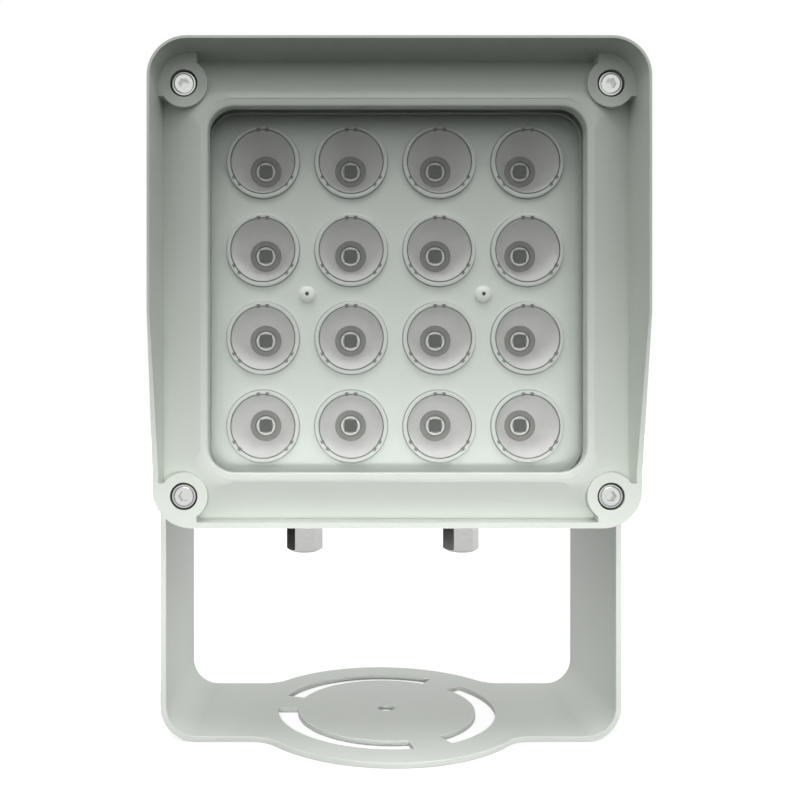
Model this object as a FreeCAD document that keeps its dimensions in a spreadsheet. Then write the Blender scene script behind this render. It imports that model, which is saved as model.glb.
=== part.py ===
import FreeCAD, Part
import math
import os

import Sketcher
from FreeCAD import Placement, Rotation, Vector

# Infrared illuminator. A die-cast head with a hooded front cover and sixteen
# lenses tilts on two pivot bolts in a bent sheet bracket with a round base.
# Millimetres. The origin is under the middle of the base, +Z is up, +X is to
# the right of someone who faces the lenses, and the lenses look along -Y.
# Inside the head, "front" sizes are distances ahead of the pivot axis.

document = FreeCAD.newDocument("infrared_illuminator")
sheet = document.addObject("Spreadsheet::Sheet", "sizes")

DRIVING_SIZES = [
    # Bracket
    ("sheet_thickness", 2.0),
    ("arm_clearance", 1.95),
    ("strap_width", 59.4),
    ("bend_radius", 10.3),
    ("base_radius", 52.2),
    ("neck_radius", 11.0),
    ("slot_radius", 33.5),
    ("slot_width", 7.3),
    ("slot_span", 100.0),
    ("slot_turn", 60.0),
    ("base_hole_radius", 3.25),
    ("pivot_height", 152.4),
    ("arm_end_radius", 17.0),
    ("arm_taper", 46.0),
    # Front cover
    ("seal_to_side", 5.5),
    ("seal_to_bottom", 4.95),
    ("seal_to_top", 6.25),
    ("cover_corner", 12.0),
    ("hood_front", 69.8),
    ("hood_edge", 0.8),
    ("hood_root", 2.4),
    ("hood_slope_start", 7.4),
    ("hood_slope_end", 56.7),
    ("lip_front", 61.4),
    ("crease_front", 56.0),
    ("rim_front", 61.8),
    ("rim_land", 0.4),
    ("bevel_width", 1.9),
    ("bevel_depth", 3.0),
    ("cover_back", 46.0),
    ("window_side_margin", 4.46),
    ("window_end_margin", 3.06),
    ("window_corner", 8.0),
    ("recess_wall", 1.5),
    # Cover screws and their bosses
    ("screw_side_inset", 9.65),
    ("screw_bottom_inset", 9.9),
    ("boss_radius", 7.4),
    ("shelf_reach", 4.0),
    ("cap_radius", 3.3),
    ("cap_height", 4.0),
    ("cap_gap", 1.0),
    ("cap_sink", 0.2),
    ("cap_bevel", 0.5),
    ("cap_socket", 3.0),
    ("cap_socket_depth", 2.0),
    ("screw_radius", 2.0),
    ("screw_gap", 0.25),
    ("cover_screw_length", 25.0),
    ("screw_end_gap", 2.0),
    ("pillar_radius", 6.5),
    # Seals and window
    ("retainer_rim", 8.85),
    ("seal_corner", 28.0),
    ("seal_width", 2.4),
    ("seal_gap", 0.2),
    ("seal_depth", 1.5),
    ("seal_land", 2.1),
    ("glass_thickness", 3.0),
    ("glass_overlap", 3.0),
    ("glass_gap", 0.5),
    ("window_seal_thickness", 1.0),
    ("retainer_thickness", 1.5),
    ("retainer_gap", 0.3),
    ("retainer_inset", 0.3),
    ("small_screw_radius", 1.5),
    ("small_screw_gap", 0.2),
    ("small_head_radius", 2.75),
    ("small_head_height", 1.6),
    ("small_recess_radius", 0.9),
    ("small_recess_depth", 0.8),
    ("small_head_bevel", 0.7),
    ("retainer_screw_inset", 3.2),
    ("retainer_screw_spacing", 52.0),
    ("retainer_screw_reach", 3.6),
    # Lens plate, lenses and emitters
    ("plate_front", 50.6),
    ("plate_thickness", 1.5),
    ("plate_gap", 0.2),
    ("plate_head_height", 1.7),
    ("plate_screw_end_gap", 1.0),
    ("lens_pitch", 28.36),
    ("lens_radius", 11.7),
    ("lens_rim", 1.4),
    ("lens_stand", 1.2),
    ("lens_gap", 0.2),
    ("collar_width", 0.85),
    ("collar_thickness", 1.0),
    ("bowl_depth", 12.4),
    ("bowl_radius", 5.2),
    ("foot_thickness", 1.2),
    ("foot_width", 1.1),
    ("eye_radius", 3.5),
    ("clip_half_width", 0.9),
    ("clip_slot_width", 1.1),
    ("clip_slot_reach", 0.7),
    ("clip_slot_depth", 0.8),
    ("clip_turn", 126.5),
    ("emitter_gap", 0.2),
    ("emitter_base_height", 0.8),
    ("chip_side", 4.0),
    ("chip_height", 0.8),
    ("board_margin", 8.5),
    ("board_corner", 3.0),
    ("board_thickness", 1.6),
    ("thermal_pad_thickness", 0.5),
    ("thermal_pad_inset", 0.6),
    ("spreader_thickness", 4.0),
    ("spreader_gap", 0.4),
    ("spreader_head_height", 2.6),
    ("spreader_screw_reach", 10.0),
    ("spacer_radius", 3.2),
    ("board_screw_reach", 3.4),
    # Rear housing
    ("flange_inset", 1.2),
    ("flange_thickness", 7.0),
    ("housing_wall", 3.2),
    ("housing_back", 35.0),
    ("back_wall", 3.0),
    ("back_bevel", 4.0),
    ("post_radius", 5.5),
    ("post_inset", 11.0),
    ("fin_count", 13.0),
    ("fin_pitch", 9.6),
    ("fin_thickness", 2.0),
    ("fin_height", 14.0),
    ("fin_end_slope", 8.0),
    ("fin_end_margin", 5.0),
    # Pivot
    ("pivot_boss_radius", 12.0),
    ("pivot_inner_radius", 10.0),
    ("pivot_inner_length", 5.0),
    ("bolt_radius", 4.0),
    ("bolt_gap", 0.08),
    ("bolt_length", 16.0),
    ("bolt_end_gap", 1.5),
    ("bolt_head_across", 13.0),
    ("bolt_head_height", 5.3),
    ("bolt_head_bevel", 0.9),
    ("washer_radius", 8.0),
    ("washer_thickness", 1.6),
    ("washer_gap", 0.3),
    ("spring_washer_radius", 7.0),
    ("spring_washer_thickness", 2.0),
    ("spring_washer_split", 1.4),
    ("friction_washer_radius", 11.0),
    ("friction_washer_thickness", 1.0),
    # Driver
    ("driver_width", 96.0),
    ("driver_tall", 62.0),
    ("driver_rise", 13.0),
    ("driver_post_radius", 3.0),
    ("driver_post_length", 6.0),
    ("driver_hole_inset", 5.0),
    ("driver_screw_reach", 4.0),
    ("driver_part_offset", 24.0),
    ("inductor_radius", 12.5),
    ("inductor_eye", 4.0),
    ("inductor_height", 10.0),
    ("inductor_bevel", 2.5),
    ("capacitor_radius", 5.0),
    ("capacitor_height", 16.0),
    ("capacitor_bevel", 0.8),
    ("capacitor_spacing", 12.0),
    ("terminal_pitch", 5.0),
    ("terminal_depth", 9.0),
    ("terminal_height", 12.0),
    ("terminal_hole", 1.6),
    ("terminal_well_depth", 4.0),
    # Cable glands
    ("gland_across", 63.6),
    ("gland_back", 23.6),
    ("gland_boss_length", 8.35),
    ("gland_boss_radius", 10.5),
    ("gland_thread_radius", 6.0),
    ("gland_thread_length", 7.5),
    ("gland_bore_radius", 3.2),
    ("gland_collar_across", 16.0),
    ("gland_collar_height", 4.5),
    ("gland_stem_radius", 5.2),
    ("gland_stem_length", 8.0),
    ("gland_cup_radius", 4.2),
    ("nut_across", 12.7),
    ("nut_bevel", 1.3),
    ("nut_length", 16.0),
    ("nut_gap", 0.2),
    ("nut_lip", 1.2),
    ("nut_mouth_radius", 3.4),
    ("cable_radius", 2.5),
    ("cable_seal_length", 9.0),
    ("cable_seal_gap", 0.1),
    ("gland_washer_width", 1.4),
    ("gland_washer_thickness", 1.0),
]


class Size:
    """A length as a number, with the formula that ties it to the sheet."""

    def __init__(self, value, text):
        self.value = value
        self.text = text

    def __add__(self, other):
        other = as_size(other)
        return Size(self.value + other.value, "(%s + %s)" % (self.text, other.text))

    def __radd__(self, other):
        return as_size(other) + self

    def __sub__(self, other):
        other = as_size(other)
        return Size(self.value - other.value, "(%s - %s)" % (self.text, other.text))

    def __rsub__(self, other):
        return as_size(other) - self

    def __mul__(self, other):
        other = as_size(other)
        return Size(self.value * other.value, "(%s * %s)" % (self.text, other.text))

    def __rmul__(self, other):
        return as_size(other) * self

    def __truediv__(self, other):
        other = as_size(other)
        return Size(self.value / other.value, "(%s / %s)" % (self.text, other.text))

    def __neg__(self):
        return Size(-self.value, "(0 - %s)" % self.text)


def as_size(number):
    if isinstance(number, Size):
        return number
    return Size(float(number), "%.12g" % number)


def cosine(angle):
    return Size(math.cos(math.radians(angle.value)), "cos(%s * 1 deg)" % angle.text)


def sine(angle):
    return Size(math.sin(math.radians(angle.value)), "sin(%s * 1 deg)" % angle.text)


class Sizes:
    """The driving sizes of the sheet, each read by its name."""


size = Sizes()
for row, (word, number) in enumerate(DRIVING_SIZES, start=1):
    sheet.set("A%d" % row, word)
    sheet.set("B%d" % row, str(number))
    sheet.setAlias("B%d" % row, word)
    setattr(size, word, Size(number, "sizes." + word))
document.recompute()

# Sketching


def dimension(sketch, constraint, length):
    index = sketch.addConstraint(constraint)
    sketch.setExpression("Constraints[%d]" % index, length.text)


def hold_along(sketch, geometry, point, kind, axis, length):
    """Hold one coordinate of a point of the sketch."""
    length = as_size(length)
    if abs(length.value) < 1e-9:
        sketch.addConstraint(Sketcher.Constraint("PointOnObject", geometry, point, axis))
    elif length.value > 0:
        dimension(sketch, Sketcher.Constraint(kind, -1, 1, geometry, point, length.value), length)
    else:
        dimension(sketch, Sketcher.Constraint(kind, geometry, point, -1, 1, -length.value), -length)


def hold(sketch, geometry, point, across, up):
    hold_along(sketch, geometry, point, "DistanceX", -2, across)
    hold_along(sketch, geometry, point, "DistanceY", -1, up)


def circle(sketch, across, up, radius):
    centre = Vector(as_size(across).value, as_size(up).value, 0)
    index = sketch.addGeometry(Part.Circle(centre, Vector(0, 0, 1), radius.value), False)
    hold(sketch, index, 3, across, up)
    dimension(sketch, Sketcher.Constraint("Radius", index, radius.value), radius)


def arc_between(start, end, radius):
    """The shorter arc from start to end. A positive radius turns left."""
    chord = end.sub(start)
    rise = math.sqrt(radius * radius - (chord.Length / 2) ** 2)
    left = Vector(-chord.y, chord.x, 0).normalize()
    centre = start.add(chord * 0.5).add(left * math.copysign(rise, radius))
    first = start
    last = end
    if radius < 0:
        first = end
        last = start
    turn_in = math.atan2(first.y - centre.y, first.x - centre.x)
    turn_out = math.atan2(last.y - centre.y, last.x - centre.x)
    return Part.ArcOfCircle(Part.Circle(centre, Vector(0, 0, 1), abs(radius)), turn_in, turn_out)


def outline(sketch, corners):
    """A closed outline. Each corner is (across, up). A third number is the
    radius of the arc that leads on from it: positive left, negative right."""
    ends = []
    for number, corner in enumerate(corners):
        follower = corners[(number + 1) % len(corners)]
        here = Vector(as_size(corner[0]).value, as_size(corner[1]).value, 0)
        there = Vector(as_size(follower[0]).value, as_size(follower[1]).value, 0)
        if len(corner) == 2:
            index = sketch.addGeometry(Part.LineSegment(here, there), False)
            ends.append((index, 1, 2))
            continue
        radius = as_size(corner[2])
        index = sketch.addGeometry(arc_between(here, there, radius.value), False)
        if radius.value > 0:
            ends.append((index, 1, 2))
        else:
            ends.append((index, 2, 1))
            radius = -radius
        dimension(sketch, Sketcher.Constraint("Radius", index, radius.value), radius)
    for number, (index, start, end) in enumerate(ends):
        following, following_start, unused = ends[(number + 1) % len(ends)]
        sketch.addConstraint(Sketcher.Constraint("Coincident", index, end, following, following_start))
        hold(sketch, index, start, corners[number][0], corners[number][1])


def rounded(sketch, half_width, low, high, corner):
    """A rectangle with round corners, as wide to the left as to the right."""
    w = half_width.value
    b = low.value
    t = high.value
    r = corner.value
    flat = Vector(0, 0, 1)
    rim = sketch.addGeometry([
        Part.LineSegment(Vector(r - w, b, 0), Vector(w - r, b, 0)),
        Part.ArcOfCircle(Part.Circle(Vector(w - r, b + r, 0), flat, r), -math.pi / 2, 0),
        Part.LineSegment(Vector(w, b + r, 0), Vector(w, t - r, 0)),
        Part.ArcOfCircle(Part.Circle(Vector(w - r, t - r, 0), flat, r), 0, math.pi / 2),
        Part.LineSegment(Vector(w - r, t, 0), Vector(r - w, t, 0)),
        Part.ArcOfCircle(Part.Circle(Vector(r - w, t - r, 0), flat, r), math.pi / 2, math.pi),
        Part.LineSegment(Vector(-w, t - r, 0), Vector(-w, b + r, 0)),
        Part.ArcOfCircle(Part.Circle(Vector(r - w, b + r, 0), flat, r), math.pi, 1.5 * math.pi),
    ], False)
    for number, piece in enumerate(rim):
        following = rim[(number + 1) % len(rim)]
        sketch.addConstraint(Sketcher.Constraint("Tangent", piece, 2, following, 1))
    bottom, low_right, right, high_right, top, high_left, left, low_left = rim
    for level in (bottom, top):
        sketch.addConstraint(Sketcher.Constraint("Horizontal", level))
    for upright in (left, right):
        sketch.addConstraint(Sketcher.Constraint("Vertical", upright))
    for arc in (high_right, high_left, low_left):
        sketch.addConstraint(Sketcher.Constraint("Equal", low_right, arc))
    dimension(sketch, Sketcher.Constraint("Radius", low_right, r), corner)
    hold_along(sketch, right, 1, "DistanceX", -2, half_width)
    hold_along(sketch, left, 1, "DistanceX", -2, -half_width)
    hold_along(sketch, bottom, 1, "DistanceY", -1, low)
    hold_along(sketch, top, 1, "DistanceY", -1, high)


# Bodies and their features


def new_body(name):
    body = document.addObject("PartDesign::Body", name)
    body.Label = name
    return body


def place(body, across, back, up, rotation=None):
    if rotation is not None:
        body.Placement = Placement(Vector(0, 0, 0), rotation)
    for axis, length in (("x", across), ("y", back), ("z", up)):
        body.setExpression("Placement.Base." + axis, as_size(length).text)


def head_body(name):
    """A body whose origin is the middle of the pivot axis."""
    body = new_body(name)
    place(body, 0, 0, size.pivot_height)
    return body


def sketch_on(body, role, offset=None):
    sketch = body.newObject("Sketcher::SketchObject", body.Name + "_sketch")
    for feature in body.Origin.OriginFeatures:
        if feature.Role == role:
            sketch.AttachmentSupport = [(feature, "")]
    sketch.MapMode = "FlatFace"
    if offset is not None:
        sketch.setExpression("AttachmentOffset.Base.z", as_size(offset).text)
    return sketch


def facing(body, front):
    """A sketch seen from the front, a distance ahead of the pivot axis."""
    return sketch_on(body, "XZ_Plane", front)


def extrude(body, kind, sketch, length, reverse=False, both_ways=False):
    feature = body.newObject("PartDesign::" + kind, sketch.Name + "_" + kind.lower())
    feature.Profile = sketch
    feature.setExpression("Length", as_size(length).text)
    feature.Reversed = reverse
    if both_ways:
        feature.SideType = "Symmetric"
    return feature


def pad(body, sketch, length, reverse=False, both_ways=False):
    return extrude(body, "Pad", sketch, length, reverse, both_ways)


def pocket(body, sketch, length, reverse=False, both_ways=False):
    return extrude(body, "Pocket", sketch, length, reverse, both_ways)


def loft(body, kind, first, last):
    feature = body.newObject("PartDesign::" + kind, first.Name + "_loft")
    feature.Profile = first
    feature.Sections = [last]
    feature.Ruled = True
    return feature


def turned(name, corners):
    """A body turned round its own Z axis from half of its section."""
    body = new_body(name)
    turn(body, corners)
    return body


def turn(body, corners, kind="Revolution"):
    sketch = sketch_on(body, "XZ_Plane")
    outline(sketch, corners)
    return spin(body, sketch, kind)


def spin(body, sketch, kind="Revolution"):
    """Turn a half section round the upright axis, to add it or to cut it."""
    feature = body.newObject("PartDesign::" + kind, sketch.Name + "_" + kind.lower())
    feature.Profile = sketch
    feature.ReferenceAxis = (sketch, ["V_Axis"])
    feature.Angle = 360
    return feature


def bevel_hexagon(body, across, end, bevel, outward):
    """Turn off the six corners of a hexagon at its end, at 30 degrees. The
    rest of the end lies above the level (outward 1) or below it (-1)."""
    corner = across / math.sqrt(3)
    reach = bevel * math.sqrt(3)
    turn(body, [
        (corner - reach, end),
        (corner + reach, end - bevel * 2 * outward),
        (corner + reach, end + bevel * outward),
        (corner - reach, end + bevel * outward),
    ], "Groove")


def soften_edges(body, kind, base, amount, wanted):
    """Round (Fillet) or bevel (Chamfer) the edges of the base feature that
    the test picks out."""
    document.recompute()
    names = []
    for number, edge in enumerate(base.Shape.Edges, start=1):
        if wanted(edge):
            names.append("Edge%d" % number)
    if not names:
        raise RuntimeError("no edge to soften on " + body.Name)
    feature = body.newObject("PartDesign::" + kind, body.Name + "_" + kind.lower())
    feature.Base = (base, names)
    feature.setExpression("Radius" if kind == "Fillet" else "Size", amount.text)
    return feature


def hexagon(sketch, across):
    corner = across / math.sqrt(3)
    points = []
    for number in range(6):
        angle = math.radians(60 * number)
        points.append((corner * round(math.cos(angle), 12), corner * round(math.sin(angle), 12)))
    outline(sketch, points)


def group(name, members):
    """Like pieces that share one node, each a solid of its own."""
    holder = document.addObject("Part::Compound", name)
    holder.Label = name
    holder.Links = members
    return holder


def four_ways(half_across, half_up):
    return [(half_across, half_up), (-half_across, half_up),
            (-half_across, -half_up), (half_across, -half_up)]


FRONT_FACING = Rotation(Vector(1, 0, 0), 90)
RIGHT_FACING = Rotation(Vector(0, 1, 0), 90)
LEFT_FACING = Rotation(Vector(0, 1, 0), -90)
SLOT_COUNT = 3
LENSES_A_SIDE = 4
CAPACITOR_COUNT = 2
TERMINAL_WAYS = 4
nodes = []

# Sizes that several pieces share

lens_reach = size.lens_pitch * (LENSES_A_SIDE - 1) / 2
window_half_width = lens_reach + size.lens_radius + size.window_side_margin
window_half_height = lens_reach + size.lens_radius + size.window_end_margin
recess_x = window_half_width + size.retainer_rim
recess_z = window_half_height + size.retainer_rim
groove_half = size.seal_width / 2 + size.seal_gap
seal_x = recess_x + size.recess_wall + groove_half
seal_z = recess_z + size.recess_wall + groove_half
recess_corner = size.seal_corner - groove_half - size.recess_wall
cavity_x = seal_x - groove_half - size.seal_land
cavity_z = seal_z - groove_half - size.seal_land
cavity_corner = size.seal_corner - groove_half - size.seal_land
cover_half = seal_x + size.seal_to_side
cover_rise = seal_z + size.seal_to_top
cover_drop = seal_z + size.seal_to_bottom
screw_x = cover_half - size.screw_side_inset
screw_z = cover_drop - size.screw_bottom_inset
cap_seat = size.lip_front - size.cap_sink - size.cap_height
screw_tip = cap_seat - size.cover_screw_length
arm_inner = cover_half + size.arm_clearance
arm_outer = arm_inner + size.sheet_thickness
boss_end = arm_inner - size.friction_washer_thickness
gland_seat_drop = cavity_z + size.gland_boss_length
spreader_x = cavity_x - size.spreader_gap
spreader_z = cavity_z - size.spreader_gap
spreader_corner = cavity_corner - size.spreader_gap
window_seat = size.rim_front - size.bevel_depth - size.recess_wall
glass_front = window_seat - size.window_seal_thickness
glass_back = glass_front - size.glass_thickness
retainer_back = glass_back - size.retainer_thickness
lens_front = size.plate_front + size.lens_stand
lens_depth = size.bowl_depth + size.foot_thickness
board_front = lens_front - lens_depth
board_back = board_front - size.board_thickness
spreader_front = board_back - size.thermal_pad_thickness
spreader_back = spreader_front - size.spreader_thickness
plate_back = size.plate_front - size.plate_thickness
cavity_back = size.housing_back - size.back_wall
small_hole = size.small_screw_radius + size.small_screw_gap
screw_hole = size.screw_radius + size.screw_gap
post_x = cavity_x - size.post_inset
post_z = cavity_z - size.post_inset
retainer_screw_x = recess_x - size.retainer_screw_inset
retainer_screw_z = recess_z - size.retainer_screw_inset
retainer_screw_half = size.retainer_screw_spacing / 2
plate_margin = size.retainer_rim - size.retainer_screw_inset - size.small_head_radius - size.plate_gap
board_screw_places = four_ways(size.lens_pitch, size.lens_pitch)
plate_screw_places = [(-size.lens_pitch, 0), (size.lens_pitch, 0)]
retainer_screw_places = (four_ways(retainer_screw_x, retainer_screw_half)
                         + four_ways(retainer_screw_half, retainer_screw_z))

# Mounting bracket


def make_bracket():
    body = new_body("mounting_bracket")
    thickness = size.sheet_thickness
    outer_bend = size.bend_radius + thickness
    shoulder = size.pivot_height - size.arm_taper
    flat_end = arm_inner - size.bend_radius
    profile = sketch_on(body, "XZ_Plane")
    outline(profile, [
        (-arm_outer, shoulder),
        (-arm_outer, outer_bend, outer_bend),
        (-flat_end, 0),
        (flat_end, 0, outer_bend),
        (arm_outer, outer_bend),
        (arm_outer, shoulder),
        (arm_inner, shoulder),
        (arm_inner, outer_bend, -size.bend_radius),
        (flat_end, thickness),
        (-flat_end, thickness, -size.bend_radius),
        (-arm_inner, outer_bend),
        (-arm_inner, shoulder),
    ])
    pad(body, profile, size.strap_width, both_ways=True)
    disc = sketch_on(body, "XY_Plane")
    circle(disc, 0, 0, size.base_radius)
    round_base = pad(body, disc, thickness)
    strap_half = size.strap_width.value / 2

    def is_neck(edge):
        middle = edge.CenterOfMass
        upright = abs(edge.Vertexes[0].Point.z - edge.Vertexes[-1].Point.z) > thickness.value / 2
        on_strap = abs(abs(middle.y) - strap_half) < 0.01
        on_disc = abs(math.hypot(middle.x, middle.y) - size.base_radius.value) < 0.01
        return upright and on_strap and on_disc

    soften_edges(body, "Fillet", round_base, size.neck_radius, is_neck)
    for offset in (arm_inner, -arm_outer):
        add_arm_end(body, offset, shoulder)
    slot = sketch_on(body, "XY_Plane")
    arc_slot(slot, size.slot_radius, size.slot_radius + size.slot_width,
             size.slot_turn, size.slot_turn + size.slot_span)
    cut = pocket(body, slot, thickness, reverse=True)
    pattern = body.newObject("PartDesign::PolarPattern", "slot_pattern")
    pattern.Originals = [cut]
    for feature in body.Origin.OriginFeatures:
        if feature.Role == "Z_Axis":
            pattern.Axis = (feature, [""])
    pattern.Angle = 360
    pattern.Occurrences = SLOT_COUNT
    body.Tip = pattern
    hole = sketch_on(body, "XY_Plane")
    circle(hole, 0, 0, size.base_hole_radius)
    pocket(body, hole, thickness, reverse=True)
    pivot = sketch_on(body, "YZ_Plane")
    circle(pivot, 0, size.pivot_height, size.bolt_radius + size.bolt_gap)
    pocket(body, pivot, arm_outer * 2, both_ways=True)
    nodes.append(body)


def add_arm_end(body, offset, shoulder):
    """The tapered end of one arm, round about the pivot hole."""
    half = size.strap_width / 2
    radius = size.arm_end_radius
    sketch = sketch_on(body, "YZ_Plane", offset)
    centre = Vector(0, size.pivot_height.value, 0)
    corner = Vector(half.value, shoulder.value, 0)
    away = corner.sub(centre)
    touch_turn = math.atan2(away.y, away.x) + math.acos(radius.value / away.Length)
    touch = centre.add(Vector(math.cos(touch_turn), math.sin(touch_turn), 0) * radius.value)
    mirrored_touch = Vector(-touch.x, touch.y, 0)
    mirrored_corner = Vector(-corner.x, corner.y, 0)
    edge = Part.Circle(centre, Vector(0, 0, 1), radius.value)
    base, right, end, left = sketch.addGeometry([
        Part.LineSegment(mirrored_corner, corner),
        Part.LineSegment(corner, touch),
        Part.ArcOfCircle(edge, touch_turn, math.pi - touch_turn),
        Part.LineSegment(mirrored_touch, mirrored_corner),
    ], False)
    hold(sketch, base, 1, -half, shoulder)
    hold(sketch, base, 2, half, shoulder)
    hold(sketch, end, 3, 0, size.pivot_height)
    dimension(sketch, Sketcher.Constraint("Radius", end, radius.value), radius)
    sketch.addConstraint(Sketcher.Constraint("Coincident", base, 2, right, 1))
    sketch.addConstraint(Sketcher.Constraint("Tangent", right, 2, end, 1))
    sketch.addConstraint(Sketcher.Constraint("Tangent", end, 2, left, 1))
    sketch.addConstraint(Sketcher.Constraint("Coincident", left, 2, base, 1))
    pad(body, sketch, size.sheet_thickness)


def arc_slot(sketch, inner, outer, start, end):
    """A slot round the origin, between two radii and two angles, with
    straight ends along the radius."""
    first = math.radians(start.value)
    last = math.radians(end.value)
    middle = Vector(0, 0, 0)
    flat = Vector(0, 0, 1)

    def spot(radius, turn):
        return Vector(radius.value * math.cos(turn), radius.value * math.sin(turn), 0)

    near, far, left, right = sketch.addGeometry([
        Part.ArcOfCircle(Part.Circle(middle, flat, inner.value), first, last),
        Part.ArcOfCircle(Part.Circle(middle, flat, outer.value), first, last),
        Part.LineSegment(spot(inner, first), spot(outer, first)),
        Part.LineSegment(spot(inner, last), spot(outer, last)),
    ], False)
    for arc, radius in ((near, inner), (far, outer)):
        sketch.addConstraint(Sketcher.Constraint("Coincident", arc, 3, -1, 1))
        dimension(sketch, Sketcher.Constraint("Radius", arc, radius.value), radius)
        for point, angle in ((1, start), (2, end)):
            if abs(math.sin(math.radians(angle.value))) > 0.7:
                hold_along(sketch, arc, point, "DistanceX", -2, radius * cosine(angle))
            else:
                hold_along(sketch, arc, point, "DistanceY", -1, radius * sine(angle))
    for line, point in ((left, 1), (right, 2)):
        sketch.addConstraint(Sketcher.Constraint("Coincident", near, point, line, 1))
        sketch.addConstraint(Sketcher.Constraint("Coincident", far, point, line, 2))


# Front cover


def make_front_cover():
    body = head_body("front_cover")
    shell = facing(body, size.cover_back)
    rounded(shell, cover_half, -cover_drop, cover_rise, size.cover_corner)
    pad(body, shell, size.hood_front - size.cover_back)
    mouth = facing(body, size.hood_front)
    inner_outline(mouth, size.hood_edge)
    floor = facing(body, size.crease_front)
    inner_outline(floor, size.hood_root)
    loft(body, "SubtractiveLoft", mouth, floor)
    side = sketch_on(body, "YZ_Plane")
    beyond = size.hood_front + size.hood_root
    below = cover_drop + size.hood_root
    outline(side, [
        (-beyond, -size.hood_slope_start),
        (-beyond, -below),
        (-size.lip_front, -below),
        (-size.lip_front, -size.hood_slope_end),
        (-size.hood_front, -size.hood_slope_start),
    ])
    pocket(body, side, cover_half * 2 + size.hood_root, both_ways=True)
    skirt = facing(body, size.crease_front)
    inner_outline(skirt, size.hood_root)
    rim = facing(body, size.rim_front)
    window_outline(rim, size.bevel_width + size.rim_land)
    loft(body, "AdditiveLoft", skirt, rim)
    boss_start = size.crease_front - size.hood_root
    bosses = facing(body, boss_start)
    for across, up in four_ways(screw_x, screw_z):
        circle(bosses, across, up, size.boss_radius)
    pad(body, bosses, size.lip_front - boss_start)
    for side_sign, rise_sign in ((1, 1), (-1, 1), (-1, -1), (1, -1)):
        shelf = facing(body, boss_start)
        corner_shelf(shelf, side_sign, rise_sign)
        pad(body, shelf, size.lip_front - boss_start)
    bevel = facing(body, size.rim_front)
    window_outline(bevel, size.bevel_width)
    opening = facing(body, size.rim_front - size.bevel_depth)
    window_outline(opening, as_size(0))
    loft(body, "SubtractiveLoft", bevel, opening)
    window = facing(body, size.rim_front - size.bevel_depth)
    window_outline(window, as_size(0))
    pocket(body, window, size.rim_front - size.cover_back)
    recess = facing(body, size.cover_back)
    rounded(recess, recess_x, -recess_z, recess_z, recess_corner)
    pocket(body, recess, glass_back - size.cover_back, reverse=True)
    glazing = facing(body, glass_back)
    window_outline(glazing, size.glass_overlap + size.glass_gap)
    pocket(body, glazing, window_seat - glass_back, reverse=True)
    groove = facing(body, size.cover_back)
    seal_outline(groove, groove_half)
    seal_outline(groove, -groove_half)
    pocket(body, groove, size.seal_depth, reverse=True)
    wells = facing(body, size.lip_front)
    for across, up in four_ways(screw_x, screw_z):
        circle(wells, across, up, size.cap_radius + size.cap_gap)
    pocket(body, wells, size.lip_front - cap_seat)
    holes = facing(body, size.lip_front)
    for across, up in four_ways(screw_x, screw_z):
        circle(holes, across, up, screw_hole)
    pocket(body, holes, size.lip_front - size.cover_back)
    threads = facing(body, glass_back)
    for across, up in retainer_screw_places:
        circle(threads, across, up, size.small_screw_radius)
    pocket(body, threads, size.retainer_screw_reach, reverse=True)
    nodes.append(body)


def inner_outline(sketch, wall):
    """The outline of the cover, a wall's thickness inside it."""
    rounded(sketch, cover_half - wall, wall - cover_drop, cover_rise - wall,
            size.cover_corner - wall)


def window_outline(sketch, beyond):
    """The outline of the window opening, or one that stands out from it."""
    rounded(sketch, window_half_width + beyond, -window_half_height - beyond,
            window_half_height + beyond, size.window_corner + beyond)


def seal_outline(sketch, beyond):
    rounded(sketch, seal_x + beyond, -seal_z - beyond, seal_z + beyond, size.seal_corner + beyond)


def corner_shelf(sketch, side_sign, rise_sign):
    """The filled corner between a screw boss and the walls beside it."""
    wall_middle = size.hood_root / 2
    radius = size.cover_corner - wall_middle
    edge = cover_rise if rise_sign > 0 else cover_drop
    wall_x = cover_half - wall_middle
    wall_z = edge - wall_middle
    near_x = screw_x - size.shelf_reach
    near_z = screw_z - size.shelf_reach
    outline(sketch, [
        (near_x * side_sign, near_z * rise_sign),
        (wall_x * side_sign, near_z * rise_sign),
        (wall_x * side_sign, (wall_z - radius) * rise_sign, radius * (side_sign * rise_sign)),
        ((wall_x - radius) * side_sign, wall_z * rise_sign),
        (near_x * side_sign, wall_z * rise_sign),
    ])


# Seals, glass and retainer


def ring_plate(name, front, thickness, draw_outer, draw_inner, holes=None, hole_radius=None):
    """A flat ring or plate that lies across the head, its back at "front"."""
    body = head_body(name)
    sketch = facing(body, front)
    draw_outer(sketch)
    if draw_inner is not None:
        draw_inner(sketch)
    for across, up in holes or []:
        circle(sketch, across, up, hole_radius)
    pad(body, sketch, thickness)
    nodes.append(body)
    return body


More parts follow.
